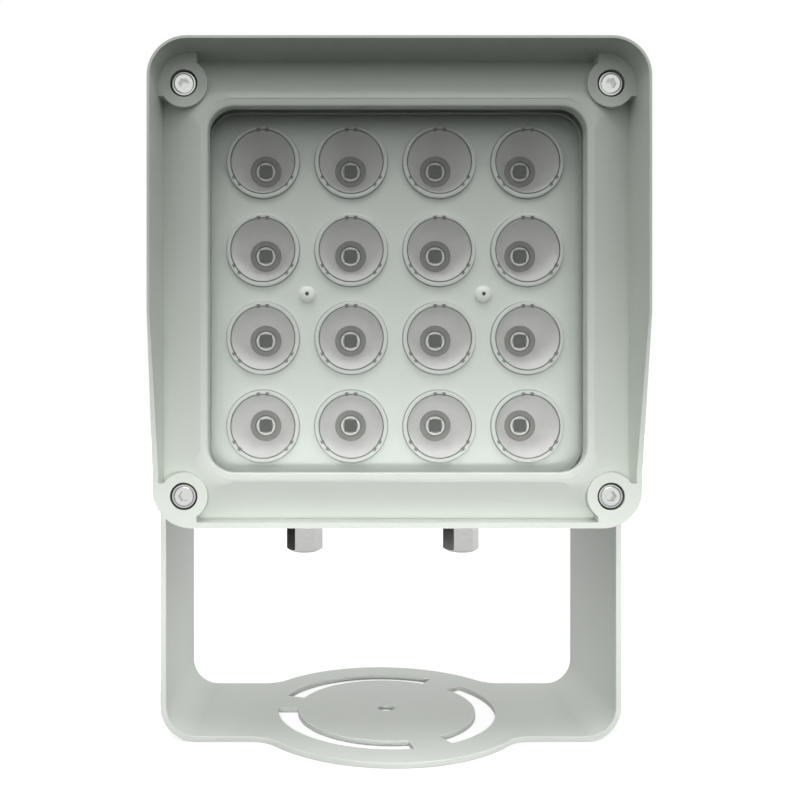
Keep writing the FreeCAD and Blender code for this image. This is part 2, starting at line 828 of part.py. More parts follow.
def make_window():
    def glass_outline(sketch):
        window_outline(sketch, size.glass_overlap)

    def glass_opening(sketch):
        window_outline(sketch, size.retainer_inset)

    def retainer_outline(sketch):
        rounded(sketch, recess_x - size.retainer_gap, size.retainer_gap - recess_z,
                recess_z - size.retainer_gap, recess_corner - size.retainer_gap)

    ring_plate("window_gasket", glass_front, size.window_seal_thickness,
               glass_outline, glass_opening)
    ring_plate("window_glass", glass_back, size.glass_thickness, glass_outline, None)
    ring_plate("window_retainer", retainer_back, size.retainer_thickness,
               retainer_outline, glass_opening, retainer_screw_places, small_hole)
    length = size.retainer_thickness + size.retainer_screw_reach
    screws = []
    for number, (across, up) in enumerate(retainer_screw_places, start=1):
        screw = small_screw("retainer_screw_%d" % number, length)
        place(screw, across, -retainer_back, up + size.pivot_height, Rotation(Vector(1, 0, 0), -90))
        screws.append(screw)
    nodes.append(group("retainer_screws", screws))

    def seal_outer(sketch):
        seal_outline(sketch, size.seal_width / 2)

    def seal_inner(sketch):
        seal_outline(sketch, size.seal_width / -2)

    ring_plate("cover_gasket", size.cover_back, size.seal_depth, seal_outer, seal_inner)


# Screws


def small_screw(name, length):
    """A pan-head screw with a round driving recess. Its head's seat is at
    the origin and its head points along +Z."""
    return headed_screw(name, size.small_screw_radius, length, size.small_head_radius,
                        size.small_head_height, size.small_recess_radius, size.small_recess_depth)


def headed_screw(name, radius, length, head_radius, head_height, recess_radius, recess_depth):
    bevel = size.small_head_bevel
    return turned(name, [
        (0, -length),
        (radius, -length),
        (radius, 0),
        (head_radius, 0),
        (head_radius, head_height - bevel),
        (head_radius - bevel, head_height),
        (recess_radius, head_height),
        (recess_radius, head_height - recess_depth),
        (0, head_height - recess_depth),
    ])


def make_cover_screws():
    screws = []
    for number, (across, up) in enumerate(four_ways(screw_x, screw_z), start=1):
        bevel = size.cap_bevel
        screw = turned("cover_screw_%d" % number, [
            (0, -size.cover_screw_length),
            (size.screw_radius, -size.cover_screw_length),
            (size.screw_radius, 0),
            (size.cap_radius, 0),
            (size.cap_radius, size.cap_height - bevel),
            (size.cap_radius - bevel, size.cap_height),
            (0, size.cap_height),
        ])
        socket = sketch_on(screw, "XY_Plane", size.cap_height)
        hexagon(socket, size.cap_socket)
        pocket(screw, socket, size.cap_socket_depth)
        place(screw, across, -cap_seat, up + size.pivot_height, FRONT_FACING)
        screws.append(screw)
    nodes.append(group("cover_screws", screws))


# Lens plate, lenses and emitters


def lens_places():
    """Row, column and place of each lens, from the top left."""
    for row in range(LENSES_A_SIDE):
        for column in range(LENSES_A_SIDE):
            across = size.lens_pitch * column - lens_reach
            up = lens_reach - size.lens_pitch * row
            yield row + 1, column + 1, across, up


def make_lens_plate():
    body = head_body("lens_plate")
    sketch = facing(body, plate_back)
    window_outline(sketch, plate_margin)
    for row, column, across, up in lens_places():
        circle(sketch, across, up, size.lens_radius + size.lens_gap)
    for across, up in plate_screw_places:
        circle(sketch, across, up, small_hole)
    pad(body, sketch, size.plate_thickness)
    nodes.append(body)
    spacers = []
    for number, (across, up) in enumerate(plate_screw_places):
        spacer = turned("plate_spacer_%d" % (number + 1), [
            (small_hole, 0),
            (size.spacer_radius, 0),
            (size.spacer_radius, plate_back - board_front),
            (small_hole, plate_back - board_front),
        ])
        place(spacer, across, -board_front, up + size.pivot_height, FRONT_FACING)
        spacers.append(spacer)
        side_name = ("left", "right")[number]
        length = size.plate_front - spreader_back - size.plate_screw_end_gap
        screw = headed_screw("plate_screw_" + side_name, size.small_screw_radius, length,
                             size.small_head_radius, size.plate_head_height,
                             size.small_recess_radius, size.small_recess_depth)
        place(screw, across, -size.plate_front, up + size.pivot_height, FRONT_FACING)
        nodes.append(screw)
    nodes.append(group("plate_spacers", spacers))


def make_lens(name, across, up):
    """A moulded collimating optic: a flange ring that stands out of the
    plate, a collar behind the plate, a conical bowl and a foot with an eye
    for the emitter. Its origin is the middle of the flange's front, and +Z
    points forward."""
    foot_radius = size.bowl_radius + size.foot_width
    mouth = size.lens_radius - size.lens_rim
    collar_front = size.lens_stand + size.plate_thickness
    collar_back = collar_front + size.collar_thickness
    body = turned(name, [
        (size.eye_radius, -lens_depth),
        (foot_radius, -lens_depth),
        (foot_radius, -size.bowl_depth),
        (mouth, -collar_back),
        (size.lens_radius + size.collar_width, -collar_back),
        (size.lens_radius + size.collar_width, -collar_front),
        (size.lens_radius, -collar_front),
        (size.lens_radius, 0),
        (mouth, 0),
        (size.bowl_radius, -size.bowl_depth),
        (size.eye_radius, -size.bowl_depth),
    ])
    slots = sketch_on(body, "XY_Plane")
    for angle in (as_size(90), 90 + size.clip_turn, 90 - size.clip_turn):
        for side in (1, -1):
            clip_slot(slots, angle, mouth, side)
    pocket(body, slots, size.clip_slot_depth)
    place(body, across, -lens_front, up + size.pivot_height, FRONT_FACING)
    nodes.append(body)


def clip_slot(sketch, angle, mouth, side):
    """The slot on one side of a clip, in the inner edge of the flange."""
    inner = mouth - size.clip_slot_reach / 2
    outer = mouth + size.clip_slot_reach
    near = size.clip_half_width * side
    far = (size.clip_half_width + size.clip_slot_width) * side
    corners = []
    for out, over in ((inner, near), (outer, near), (outer, far), (inner, far)):
        corners.append((cosine(angle) * out - sine(angle) * over, sine(angle) * out + cosine(angle) * over))
    outline(sketch, corners)


def make_emitter(name, across, up):
    """A round package with the square chip on it, its back on the board."""
    body = turned(name, [
        (0, 0),
        (size.eye_radius - size.emitter_gap, 0),
        (size.eye_radius - size.emitter_gap, size.emitter_base_height),
        (0, size.emitter_base_height),
    ])
    chip = sketch_on(body, "XY_Plane", size.emitter_base_height)
    half = size.chip_side / 2
    outline(chip, four_ways(half, half))
    pad(body, chip, size.chip_height)
    place(body, across, -board_front, up + size.pivot_height, FRONT_FACING)
    return body


def make_optics():
    rows = {}
    for row, column, across, up in lens_places():
        make_lens("lens_r%d_c%d" % (row, column), across, up)
        emitter = make_emitter("emitter_r%d_c%d" % (row, column), across, up)
        rows.setdefault(row, []).append(emitter)
    for row, emitters in rows.items():
        nodes.append(group("led_emitters_row_%d" % row, emitters))


# Boards and heat spreader


def square_plate(name, back, thickness, half, corner, hole_sets):
    body = head_body(name)
    sketch = facing(body, back)
    rounded(sketch, half, -half, half, corner)
    for places, radius in hole_sets:
        for across, up in places:
            circle(sketch, across, up, radius)
    pad(body, sketch, thickness)
    nodes.append(body)


def make_emitter_board():
    board_half = lens_reach + size.board_margin
    holes = [(board_screw_places, small_hole), (plate_screw_places, small_hole)]
    square_plate("led_board", board_back, size.board_thickness, board_half,
                 size.board_corner, holes)
    square_plate("thermal_pad", spreader_front, size.thermal_pad_thickness,
                 board_half - size.thermal_pad_inset, size.board_corner, holes)
    spreader = head_body("heat_spreader")
    sketch = facing(spreader, spreader_back)
    rounded(sketch, spreader_x, -spreader_z, spreader_z, spreader_corner)
    for across, up in four_ways(post_x, post_z):
        circle(sketch, across, up, screw_hole)
    for across, up in board_screw_places + plate_screw_places:
        circle(sketch, across, up, size.small_screw_radius)
    pad(spreader, sketch, size.spreader_thickness)
    nodes.append(spreader)
    length = size.board_thickness + size.thermal_pad_thickness + size.board_screw_reach
    screws = []
    for number, (across, up) in enumerate(board_screw_places, start=1):
        screw = small_screw("board_screw_%d" % number, length)
        place(screw, across, -board_front, up + size.pivot_height, FRONT_FACING)
        screws.append(screw)
    nodes.append(group("board_screws", screws))
    screws = []
    for number, (across, up) in enumerate(four_ways(post_x, post_z), start=1):
        screw = headed_screw("spreader_screw_%d" % number, size.screw_radius,
                             size.spreader_thickness + size.spreader_screw_reach,
                             size.cap_radius, size.spreader_head_height,
                             size.small_recess_radius, size.small_recess_depth)
        place(screw, across, -spreader_front, up + size.pivot_height, FRONT_FACING)
        screws.append(screw)
    nodes.append(group("spreader_screws", screws))


# Rear housing

body_x = cavity_x + size.housing_wall
body_z = cavity_z + size.housing_wall
body_corner = cavity_corner + size.housing_wall
flange_back = size.cover_back - size.flange_thickness
gland_x = size.gland_across / 2
gland_places = [("left", -gland_x), ("right", gland_x)]
driver_seat = cavity_back - size.driver_post_length
driver_hole_x = size.driver_width / 2 - size.driver_hole_inset
driver_hole_z = size.driver_tall / 2 - size.driver_hole_inset
driver_holes = [(across, up + size.driver_rise)
                for across, up in four_ways(driver_hole_x, driver_hole_z)]


def make_rear_housing():
    body = head_body("rear_housing")
    flange = facing(body, flange_back)
    inner_outline(flange, size.flange_inset)
    pad(body, flange, size.flange_thickness)
    tub = facing(body, -size.housing_back)
    rounded(tub, body_x, -body_z, body_z, body_corner)
    tub_pad = pad(body, tub, size.housing_back + flange_back)
    back = size.housing_back.value

    def is_rear(edge):
        return all(abs(vertex.Point.y - back) < 0.001 for vertex in edge.Vertexes)

    soften_edges(body, "Chamfer", tub_pad, size.back_bevel, is_rear)
    pillar_back = screw_tip - size.screw_end_gap - size.back_wall
    pillars = facing(body, pillar_back)
    for across, up in four_ways(screw_x, screw_z):
        circle(pillars, across, up, size.pillar_radius)
    pad(body, pillars, size.cover_back - pillar_back)
    pivot = sketch_on(body, "YZ_Plane")
    circle(pivot, 0, 0, size.pivot_boss_radius)
    pad(body, pivot, boss_end * 2, both_ways=True)
    glands = sketch_on(body, "XY_Plane", -gland_seat_drop)
    for side_name, across in gland_places:
        circle(glands, across, size.gland_back, size.gland_boss_radius)
    pad(body, glands, gland_seat_drop - cavity_z + size.back_wall)
    add_fins(body)
    cavity = facing(body, size.cover_back)
    rounded(cavity, cavity_x, -cavity_z, cavity_z, cavity_corner)
    pocket(body, cavity, size.cover_back + cavity_back)
    posts = facing(body, -cavity_back - size.back_wall / 2)
    for across, up in four_ways(post_x, post_z):
        circle(posts, across, up, size.post_radius)
    pad(body, posts, spreader_back + cavity_back + size.back_wall / 2)
    driver_posts = facing(body, -cavity_back - size.back_wall / 2)
    for across, up in driver_holes:
        circle(driver_posts, across, up, size.driver_post_radius)
    pad(body, driver_posts, size.driver_post_length + size.back_wall / 2)
    inner_start = cavity_x - size.pivot_inner_length
    for offset in (inner_start, -cavity_x - size.housing_wall / 2):
        inner_boss = sketch_on(body, "YZ_Plane", offset)
        circle(inner_boss, 0, 0, size.pivot_inner_radius)
        pad(body, inner_boss, size.pivot_inner_length + size.housing_wall / 2)
    drill(body, facing(body, size.cover_back), four_ways(screw_x, screw_z),
          size.screw_radius, size.cover_back - screw_tip + size.screw_end_gap)
    drill(body, facing(body, spreader_back), four_ways(post_x, post_z),
          size.screw_radius, size.spreader_screw_reach + size.screw_end_gap)
    drill(body, facing(body, -driver_seat), driver_holes,
          size.small_screw_radius, size.driver_screw_reach)
    bolt_hole = size.bolt_length - (bolt_seat - boss_end) + size.bolt_end_gap
    drill(body, sketch_on(body, "YZ_Plane", boss_end), [(0, 0)], size.bolt_radius, bolt_hole)
    drill(body, sketch_on(body, "YZ_Plane", -boss_end), [(0, 0)], size.bolt_radius, bolt_hole, True)
    gland_holes = [(across, size.gland_back) for side_name, across in gland_places]
    drill(body, sketch_on(body, "XY_Plane", -gland_seat_drop), gland_holes,
          size.gland_thread_radius, gland_seat_drop - cavity_z + size.housing_wall, True)
    nodes.append(body)


def drill(body, sketch, places, radius, depth, reverse=False):
    for across, up in places:
        circle(sketch, across, up, radius)
    pocket(body, sketch, depth, reverse=reverse)


def add_fins(body):
    """Upright cooling fins across the back, sloped off at both ends."""
    first = size.fin_pitch * (1 - size.fin_count) / 2
    reach = body_z - size.fin_end_margin
    root = size.housing_back - size.back_wall / 2
    tip = size.housing_back + size.fin_height
    fin = sketch_on(body, "YZ_Plane", first)
    outline(fin, [
        (root, -reach),
        (size.housing_back, -reach),
        (tip, size.fin_end_slope - reach),
        (tip, reach - size.fin_end_slope),
        (size.housing_back, reach),
        (root, reach),
    ])
    blade = pad(body, fin, size.fin_thickness, both_ways=True)
    pattern = body.newObject("PartDesign::LinearPattern", "fin_pattern")
    pattern.Originals = [blade]
    for feature in body.Origin.OriginFeatures:
        if feature.Role == "X_Axis":
            pattern.Direction = (feature, [""])
    pattern.setExpression("Length", (size.fin_pitch * (size.fin_count - 1)).text)
    pattern.setExpression("Occurrences", size.fin_count.text)
    body.Tip = pattern


# Pivot bolts and washers

washer_seat = arm_outer
spring_seat = washer_seat + size.washer_thickness
bolt_seat = spring_seat + size.spring_washer_thickness


def washer(name, outer, thickness):
    inner = size.bolt_radius + size.washer_gap
    return turned(name, [(inner, 0), (outer, 0), (outer, thickness), (inner, thickness)])


def make_pivot(side_name, sign, rotation):
    """The pivot parts of one side. Each one's +Z points out from the head."""
    bolt = new_body("pivot_bolt_" + side_name)
    head = sketch_on(bolt, "XY_Plane")
    hexagon(head, size.bolt_head_across)
    pad(bolt, head, size.bolt_head_height)
    shank = sketch_on(bolt, "XY_Plane")
    circle(shank, 0, 0, size.bolt_radius)
    pad(bolt, shank, size.bolt_length, reverse=True)
    bevel_hexagon(bolt, size.bolt_head_across, size.bolt_head_height, size.bolt_head_bevel, 1)
    place(bolt, bolt_seat * sign, 0, size.pivot_height, rotation)
    flat = washer("flat_washer_" + side_name, size.washer_radius, size.washer_thickness)
    place(flat, washer_seat * sign, 0, size.pivot_height, rotation)
    spring = washer("spring_washer_" + side_name, size.spring_washer_radius,
                    size.spring_washer_thickness)
    split = sketch_on(spring, "XY_Plane")
    half = size.spring_washer_split / 2
    outline(split, [(-half, 0), (half, 0), (half, size.washer_radius), (-half, size.washer_radius)])
    pocket(spring, split, size.spring_washer_thickness, reverse=True)
    place(spring, spring_seat * sign, 0, size.pivot_height, rotation)
    friction = washer("friction_washer_" + side_name, size.friction_washer_radius,
                      size.friction_washer_thickness)
    place(friction, boss_end * sign, 0, size.pivot_height, rotation)
    nodes.extend([bolt, flat, spring, friction])


# Driver


def make_driver():
    board = head_body("driver_board")
    sketch = facing(board, -driver_seat)
    half_width = size.driver_width / 2
    half_tall = size.driver_tall / 2
    rounded(sketch, half_width, size.driver_rise - half_tall, size.driver_rise + half_tall,
            size.board_corner)
    for across, up in driver_holes:
        circle(sketch, across, up, small_hole)
    pad(board, sketch, size.board_thickness)
    nodes.append(board)
    board_face = driver_seat - size.board_thickness
    centre_up = size.pivot_height + size.driver_rise
    screws = []
    for number, (across, up) in enumerate(driver_holes, start=1):
        screw = small_screw("driver_screw_%d" % number,
                            size.board_thickness + size.driver_screw_reach)
        place(screw, across, board_face, up + size.pivot_height, FRONT_FACING)
        screws.append(screw)
    nodes.append(group("driver_screws", screws))
    bevel = size.inductor_bevel
    coil = turned("driver_inductor", [
        (size.inductor_eye, bevel),
        (size.inductor_eye + bevel, 0),
        (size.inductor_radius - bevel, 0),
        (size.inductor_radius, bevel),
        (size.inductor_radius, size.inductor_height - bevel),
        (size.inductor_radius - bevel, size.inductor_height),
        (size.inductor_eye + bevel, size.inductor_height),
        (size.inductor_eye, size.inductor_height - bevel),
    ])
    place(coil, -size.driver_part_offset, board_face, centre_up, FRONT_FACING)
    nodes.append(coil)
    cans = []
    for number in range(CAPACITOR_COUNT):
        edge = size.capacitor_bevel
        can = turned("capacitor_%d" % (number + 1), [
            (0, 0),
            (size.capacitor_radius, 0),
            (size.capacitor_radius, size.capacitor_height - edge),
            (size.capacitor_radius - edge, size.capacitor_height),
            (0, size.capacitor_height),
        ])
        step = number - (CAPACITOR_COUNT - 1) / 2
        place(can, 0, board_face, centre_up + size.capacitor_spacing * step, FRONT_FACING)
        cans.append(can)
    nodes.append(group("driver_capacitors", cans))
    make_terminals(board_face, centre_up)


def make_terminals(board_face, centre_up):
    """A terminal block with a screw well over each way."""
    block = new_body("terminal_block")
    half_depth = size.terminal_depth / 2
    base = sketch_on(block, "XY_Plane")
    outline(base, four_ways(size.terminal_pitch * TERMINAL_WAYS / 2, half_depth))
    pad(block, base, size.terminal_height)
    wells = sketch_on(block, "XY_Plane", size.terminal_height)
    for number in range(TERMINAL_WAYS):
        step = number - (TERMINAL_WAYS - 1) / 2
        circle(wells, size.terminal_pitch * step, 0, size.terminal_hole)
    pocket(block, wells, size.terminal_well_depth)
    place(block, size.driver_part_offset, board_face, centre_up, FRONT_FACING)
    nodes.append(block)


# Cable glands


def make_gland(side_name, across):
    """One gland. Its origin is the middle of its seat under the head."""
    seat_up = size.pivot_height - gland_seat_drop
    collar = size.gland_collar_height
    stem_end = collar + size.gland_stem_length
    cup_start = collar + size.cable_seal_gap
    barrel = turned("gland_body_" + side_name, [
        (size.gland_bore_radius, size.gland_thread_length),
        (size.gland_bore_radius, -cup_start),
        (size.gland_cup_radius, -cup_start),
        (size.gland_cup_radius, -stem_end),
        (size.gland_stem_radius, -stem_end),
        (size.gland_stem_radius, -collar),
        (size.gland_thread_radius, -collar),
        (size.gland_thread_radius, size.gland_thread_length),
    ])
    hexed = sketch_on(barrel, "XY_Plane")
    hexagon(hexed, size.gland_collar_across)
    circle(hexed, 0, 0, size.gland_thread_radius)
    pad(barrel, hexed, collar, reverse=True)
    washer_edge = size.gland_thread_radius + size.gland_washer_width
    seat_groove = sketch_on(barrel, "XY_Plane")
    circle(seat_groove, 0, 0, size.gland_thread_radius)
    circle(seat_groove, 0, 0, washer_edge)
    pocket(barrel, seat_groove, size.gland_washer_thickness)
    nut_top = collar + size.nut_gap
    nut_end = nut_top + size.nut_length
    nut = new_body("gland_nut_" + side_name)
    grip = sketch_on(nut, "XY_Plane", -nut_top)
    hexagon(grip, size.nut_across)
    pad(nut, grip, size.nut_length, reverse=True)
    bevel_hexagon(nut, size.nut_across, -nut_end, size.nut_bevel, -1)
    turn(nut, [
        (0, -nut_top),
        (size.gland_stem_radius, -nut_top),
        (size.gland_stem_radius, -stem_end - size.nut_gap),
        (size.nut_mouth_radius, size.nut_lip - nut_end),
        (size.nut_mouth_radius, -nut_end),
        (0, -nut_end),
    ], "Groove")
    seal_start = cup_start + size.cable_seal_gap
    seal_radius = size.gland_cup_radius - size.cable_seal_gap
    seal = turned("gland_seal_" + side_name, [
        (size.cable_radius, -seal_start),
        (size.cable_radius, -seal_start - size.cable_seal_length),
        (size.nut_mouth_radius, -seal_start - size.cable_seal_length),
        (seal_radius, -stem_end),
        (seal_radius, -seal_start),
    ])
    seat_washer = turned("gland_washer_" + side_name, [
        (size.gland_thread_radius, -size.gland_washer_thickness),
        (washer_edge, -size.gland_washer_thickness),
        (washer_edge, 0),
        (size.gland_thread_radius, 0),
    ])
    for piece in (barrel, nut, seal, seat_washer):
        place(piece, across, size.gland_back, seat_up)
        nodes.append(piece)


make_bracket()
make_rear_housing()
make_front_cover()
make_window()
make_cover_screws()
make_lens_plate()
make_optics()
make_emitter_board()
make_pivot("left", -1, LEFT_FACING)
make_pivot("right", 1, RIGHT_FACING)
make_driver()
for gland_side, gland_across in gland_places:
    make_gland(gland_side, gland_across)
document.recompute()

# Every object is checked before anything is written

for item in document.Objects:
    if "Invalid" in item.State or "Error" in item.State:
        raise RuntimeError("%s failed: %s" % (item.Name, item.State))
for node in nodes:
    if node.Shape.isNull() or not node.Shape.isValid():
        raise RuntimeError(node.Label + " has no sound shape")

os.makedirs("parts", exist_ok=True)
for node in nodes:
    node.Shape.exportStep("parts/%s.step" % node.Label)
    print("%-24s %2d solids %12.1f mm3" % (node.Label, len(node.Shape.Solids), node.Shape.Volume))
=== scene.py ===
import math

import bmesh
import bpy
from mathutils import Matrix, Vector


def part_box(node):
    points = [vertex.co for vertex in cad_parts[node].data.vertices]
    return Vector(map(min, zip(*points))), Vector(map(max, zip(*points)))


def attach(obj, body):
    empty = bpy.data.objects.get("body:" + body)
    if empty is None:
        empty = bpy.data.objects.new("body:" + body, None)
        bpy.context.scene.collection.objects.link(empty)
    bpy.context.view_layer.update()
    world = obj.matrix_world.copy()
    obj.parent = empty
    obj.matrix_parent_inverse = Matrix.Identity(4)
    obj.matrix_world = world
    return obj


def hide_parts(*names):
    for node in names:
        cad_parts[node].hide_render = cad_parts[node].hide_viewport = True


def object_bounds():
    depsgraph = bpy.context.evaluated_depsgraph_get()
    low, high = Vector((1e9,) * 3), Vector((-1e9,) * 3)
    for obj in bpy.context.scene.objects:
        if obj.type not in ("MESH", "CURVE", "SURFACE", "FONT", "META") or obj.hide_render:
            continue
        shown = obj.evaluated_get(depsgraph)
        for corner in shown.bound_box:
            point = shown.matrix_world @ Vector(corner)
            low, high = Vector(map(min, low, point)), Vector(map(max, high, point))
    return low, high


bl_info = {
    "name": "Infrared Illuminator Finishes",
    "version": (1, 0, 0),
    "blender": (4, 5, 0),
    "location": "View3D > Sidebar > Illuminator",
    "description": "Finishes, fine pieces, lamps and camera for a hooded infrared illuminator",
    "category": "Object",
}

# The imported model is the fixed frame: metres, +Z up, the lenses look along -Y

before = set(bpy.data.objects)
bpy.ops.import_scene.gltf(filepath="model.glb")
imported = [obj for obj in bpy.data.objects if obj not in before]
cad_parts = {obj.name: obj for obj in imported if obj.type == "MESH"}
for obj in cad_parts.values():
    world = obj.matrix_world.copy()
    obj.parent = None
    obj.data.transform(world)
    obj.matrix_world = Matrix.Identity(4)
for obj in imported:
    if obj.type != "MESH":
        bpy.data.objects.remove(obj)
packed_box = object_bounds()

MM = 0.001
HEAD = "head"
BRACKET = "bracket"
SIDES = ("left", "right")
LENSES = [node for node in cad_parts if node.startswith("lens_r")]
ROWS = [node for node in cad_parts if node.startswith("led_emitters_row_")]

# New pieces are made along +Z. FORWARD turns them to face the front, and
# PIVOT lifts them to the axis on which the head tilts.
FORWARD = Matrix.Rotation(math.radians(90), 4, "X")
PIVOT = Matrix.Translation((0.0, 0.0, 0.1524))

# Joining of points and shading of edges
WELD = 0.002 * MM
FINE_WELD = 0.0005 * MM
FLAT_ANGLE = math.radians(0.6)
ROUNDED_ANGLE = math.radians(31)
SHARP_ANGLE = math.radians(38)
ROUND_STEPS = 40
CORNER_STEPS = 12

# Opening's lip and cover screws, in millimetres from the middle of the cover
LIP_HALF_WIDTH = 58.7
LIP_HALF_HEIGHT = 56.7
LIP_CORNER = 8.0
SCREW_ACROSS = 66.3
SCREW_UP = 64.1

# Plate screws, in millimetres
PLATE_HEAD_HEIGHT = 1.7

# Lenses, in millimetres, with heights from the front face
SLOT_HEIGHT = -0.8
BOWL_MOUTH = (9.88, -0.45)
BOWL_FLOOR = (5.2, -12.4)
LENS_FOOT = -13.6
LENS_STEP = 5
BOWL_STEPS = 12

# Places of the clips round a lens in degrees, how much of the round each one
# takes, and the turns of its two slots, as (degrees, whether in the slot)
CLIP_TURNS = (90.0, 216.5, -36.5)
CLIP_REACH = 12
CLIP_EDGES = ((2.4, False), (4.75, False), (4.95, True), (7.8, True), (10.7, True), (10.9, False))

# Emitters, in millimetres
PACKAGE_RADIUS = 3.3
PACKAGE_HEIGHT = 0.8
PACKAGE_BEVEL = (0.08, 0.1)
RING_RADIUS = 2.78
RING_REACH = 0.42
RING_RISE = 0.5
RING_STEPS = 10
CHIP_SIDES = (4.0, 4.0, 0.8)
CHIP_BEVEL = 0.12

# Stage, in metres and degrees
FLOOR_REACH = 4.0
FLOOR_GAP = 0.05 * MM
CARD_HEIGHT = 0.3
LEFT_LAMP_SHARE = 0.43


def colour_property(name, description, default):
    return bpy.props.FloatVectorProperty(
        name=name, description=description, default=default,
        subtype="COLOR", size=3, min=0.0, max=1.0)


def length_property(name, description, default):
    return bpy.props.FloatProperty(
        name=name, description=description, default=default,
        subtype="DISTANCE", unit="LENGTH", min=0.0)


def share_property(name, description, default):
    return bpy.props.FloatProperty(
        name=name, description=description, default=default,
        subtype="FACTOR", min=0.0, max=1.0)


def power_property(name, description, default):
    return bpy.props.FloatProperty(
        name=name, description=description, default=default, unit="POWER", min=0.0)


class PaintSettings(bpy.types.PropertyGroup):
    """Colours and grain of the coated pieces"""
    coat: colour_property(
        "Coat", "Powder coat on the castings", (0.625, 0.665, 0.615))
    plate: colour_property(
        "Lens plate", "Paint of the plate that the lenses stand out of", (0.70, 0.74, 0.695))
    bracket: colour_property(
        "Bracket", "Powder coat of the bent bracket", (0.71, 0.74, 0.70))
    screw: colour_property(
        "Plate screws", "White coating of the two plate screws", (0.86, 0.89, 0.85))
    retainer: colour_property(
        "Retainer", "Coating of the ring that holds the glass", (0.50, 0.53, 0.50))
    roughness: share_property("Roughness", "How matt the powder coat is", 0.42)
    grain: length_property("Grain", "Size of the coat's ripples", 0.9 * MM)
    relief: length_property("Relief", "Depth of the coat's ripples", 0.012 * MM)


class EdgeSettings(bpy.types.PropertyGroup):
    """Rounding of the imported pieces' edges"""
    casting: length_property("Castings", "Rounding of the castings' edges", 0.3 * MM)
    sheet: length_property("Bracket", "Rounding of the bent sheet's edges", 0.4 * MM)
    metal: length_property("Fixings", "Rounding of turned and milled edges", 0.15 * MM)


class LensSettings(bpy.types.PropertyGroup):
    """Colours and shape of the lenses and emitters"""
    bowl: colour_property("Bowl", "Satin surface of the optics", (0.86, 0.845, 0.845))
    flange: colour_property("Flange", "Moulded ring round each optic", (0.66, 0.68, 0.65))
    # The floor's colour is also put on the faces in the clips' slots, as painted shade
    floor: colour_property("Bowl's floor", "Flat ring round each emitter", (0.20, 0.185, 0.175))
    chip: colour_property("Chip", "Emitter chip", (0.045, 0.043, 0.04))
    ring: colour_property("Emitter ring", "Pale ring round each chip", (0.86, 0.86, 0.83))
    groove: length_property("Groove", "Depth of the groove inside the flange", 0.55 * MM)
    bulge: length_property(
        "Bulge", "How far the bowl's wall swells from a straight cone", 0.35 * MM)


class StageSettings(bpy.types.PropertyGroup):
    """Camera, lamps and room"""
    across: bpy.props.FloatProperty(
        name="Camera across", description="Camera's place along X", default=-0.0189,
        subtype="DISTANCE", unit="LENGTH")
    back: length_property("Camera distance", "How far the camera stands in front", 0.3311)
    up: length_property("Camera height", "Camera's height over the floor", 0.1148)
    focus: bpy.props.FloatProperty(
        name="Focal length", description="Camera's focal length", default=39.15,
        subtype="DISTANCE_CAMERA", unit="CAMERA", min=1.0)
    shift_across: share_property(
        "Shift across", "Sideways shift of the picture, as a share of its width", 0.0794)
    shift_up: share_property(
        "Shift up", "Upward shift of the picture, as a share of its width", 0.01375)
    top: power_property("Top lamp", "Power of the large lamp over the front", 4.3)
    low: power_property("Low lamp", "Power of the narrow lamp in front, near the floor", 0.085)
    sides: power_property("Side lamps", "Power of the narrow lamps beside the bracket", 0.0125)
    sky: share_property("Sky", "Brightness of the room's upper half", 0.88)
    ground: share_property("Ground", "Brightness of the room's lower half", 0.0)


# Surfaces


def add_node(tree, kind, **values):
    """Add a shader node, and set its own values or those on its sockets."""
    node = tree.nodes.new(kind)
    for name, value in values.items():
        if hasattr(node, name):
            setattr(node, name, value)
        else:
            node.inputs[name.replace("_", " ")].default_value = value
    return node


def new_group(name, inputs):
    """A node group that takes these inputs and gives colour, gloss and relief."""
    tree = bpy.data.node_groups.new(name, "ShaderNodeTree")
    for word, kind, default in inputs:
        socket = tree.interface.new_socket(name=word, in_out="INPUT", socket_type=kind)
        socket.default_value = default
    for word, kind in (
            ("Colour", "NodeSocketColor"), ("Roughness", "NodeSocketFloat"),
            ("Height", "NodeSocketFloat")):
        tree.interface.new_socket(name=word, in_out="OUTPUT", socket_type=kind)
    return tree, add_node(tree, "NodeGroupInput"), add_node(tree, "NodeGroupOutput")


def close_group(tree, start, end, tone, pattern, ripple):
    """Shade the colour by the tone, vary the gloss with the pattern and pass the
    ripple on as relief. Returns the node whose second input is the gloss's reach."""
    link = tree.links.new
    shade = add_node(tree, "ShaderNodeVectorMath", operation="SCALE")
    link(start.outputs["Colour"], shade.inputs[0])
    link(tone.outputs["Result"], shade.inputs["Scale"])
    gloss = add_node(tree, "ShaderNodeMath", operation="MULTIPLY_ADD")
    link(pattern.outputs["Fac"], gloss.inputs[0])
    link(start.outputs["Roughness"], gloss.inputs[2])
    link(shade.outputs[0], end.inputs["Colour"])
    link(gloss.outputs[0], end.inputs["Roughness"])
    link(ripple.outputs["Fac"], end.inputs["Height"])
    return gloss


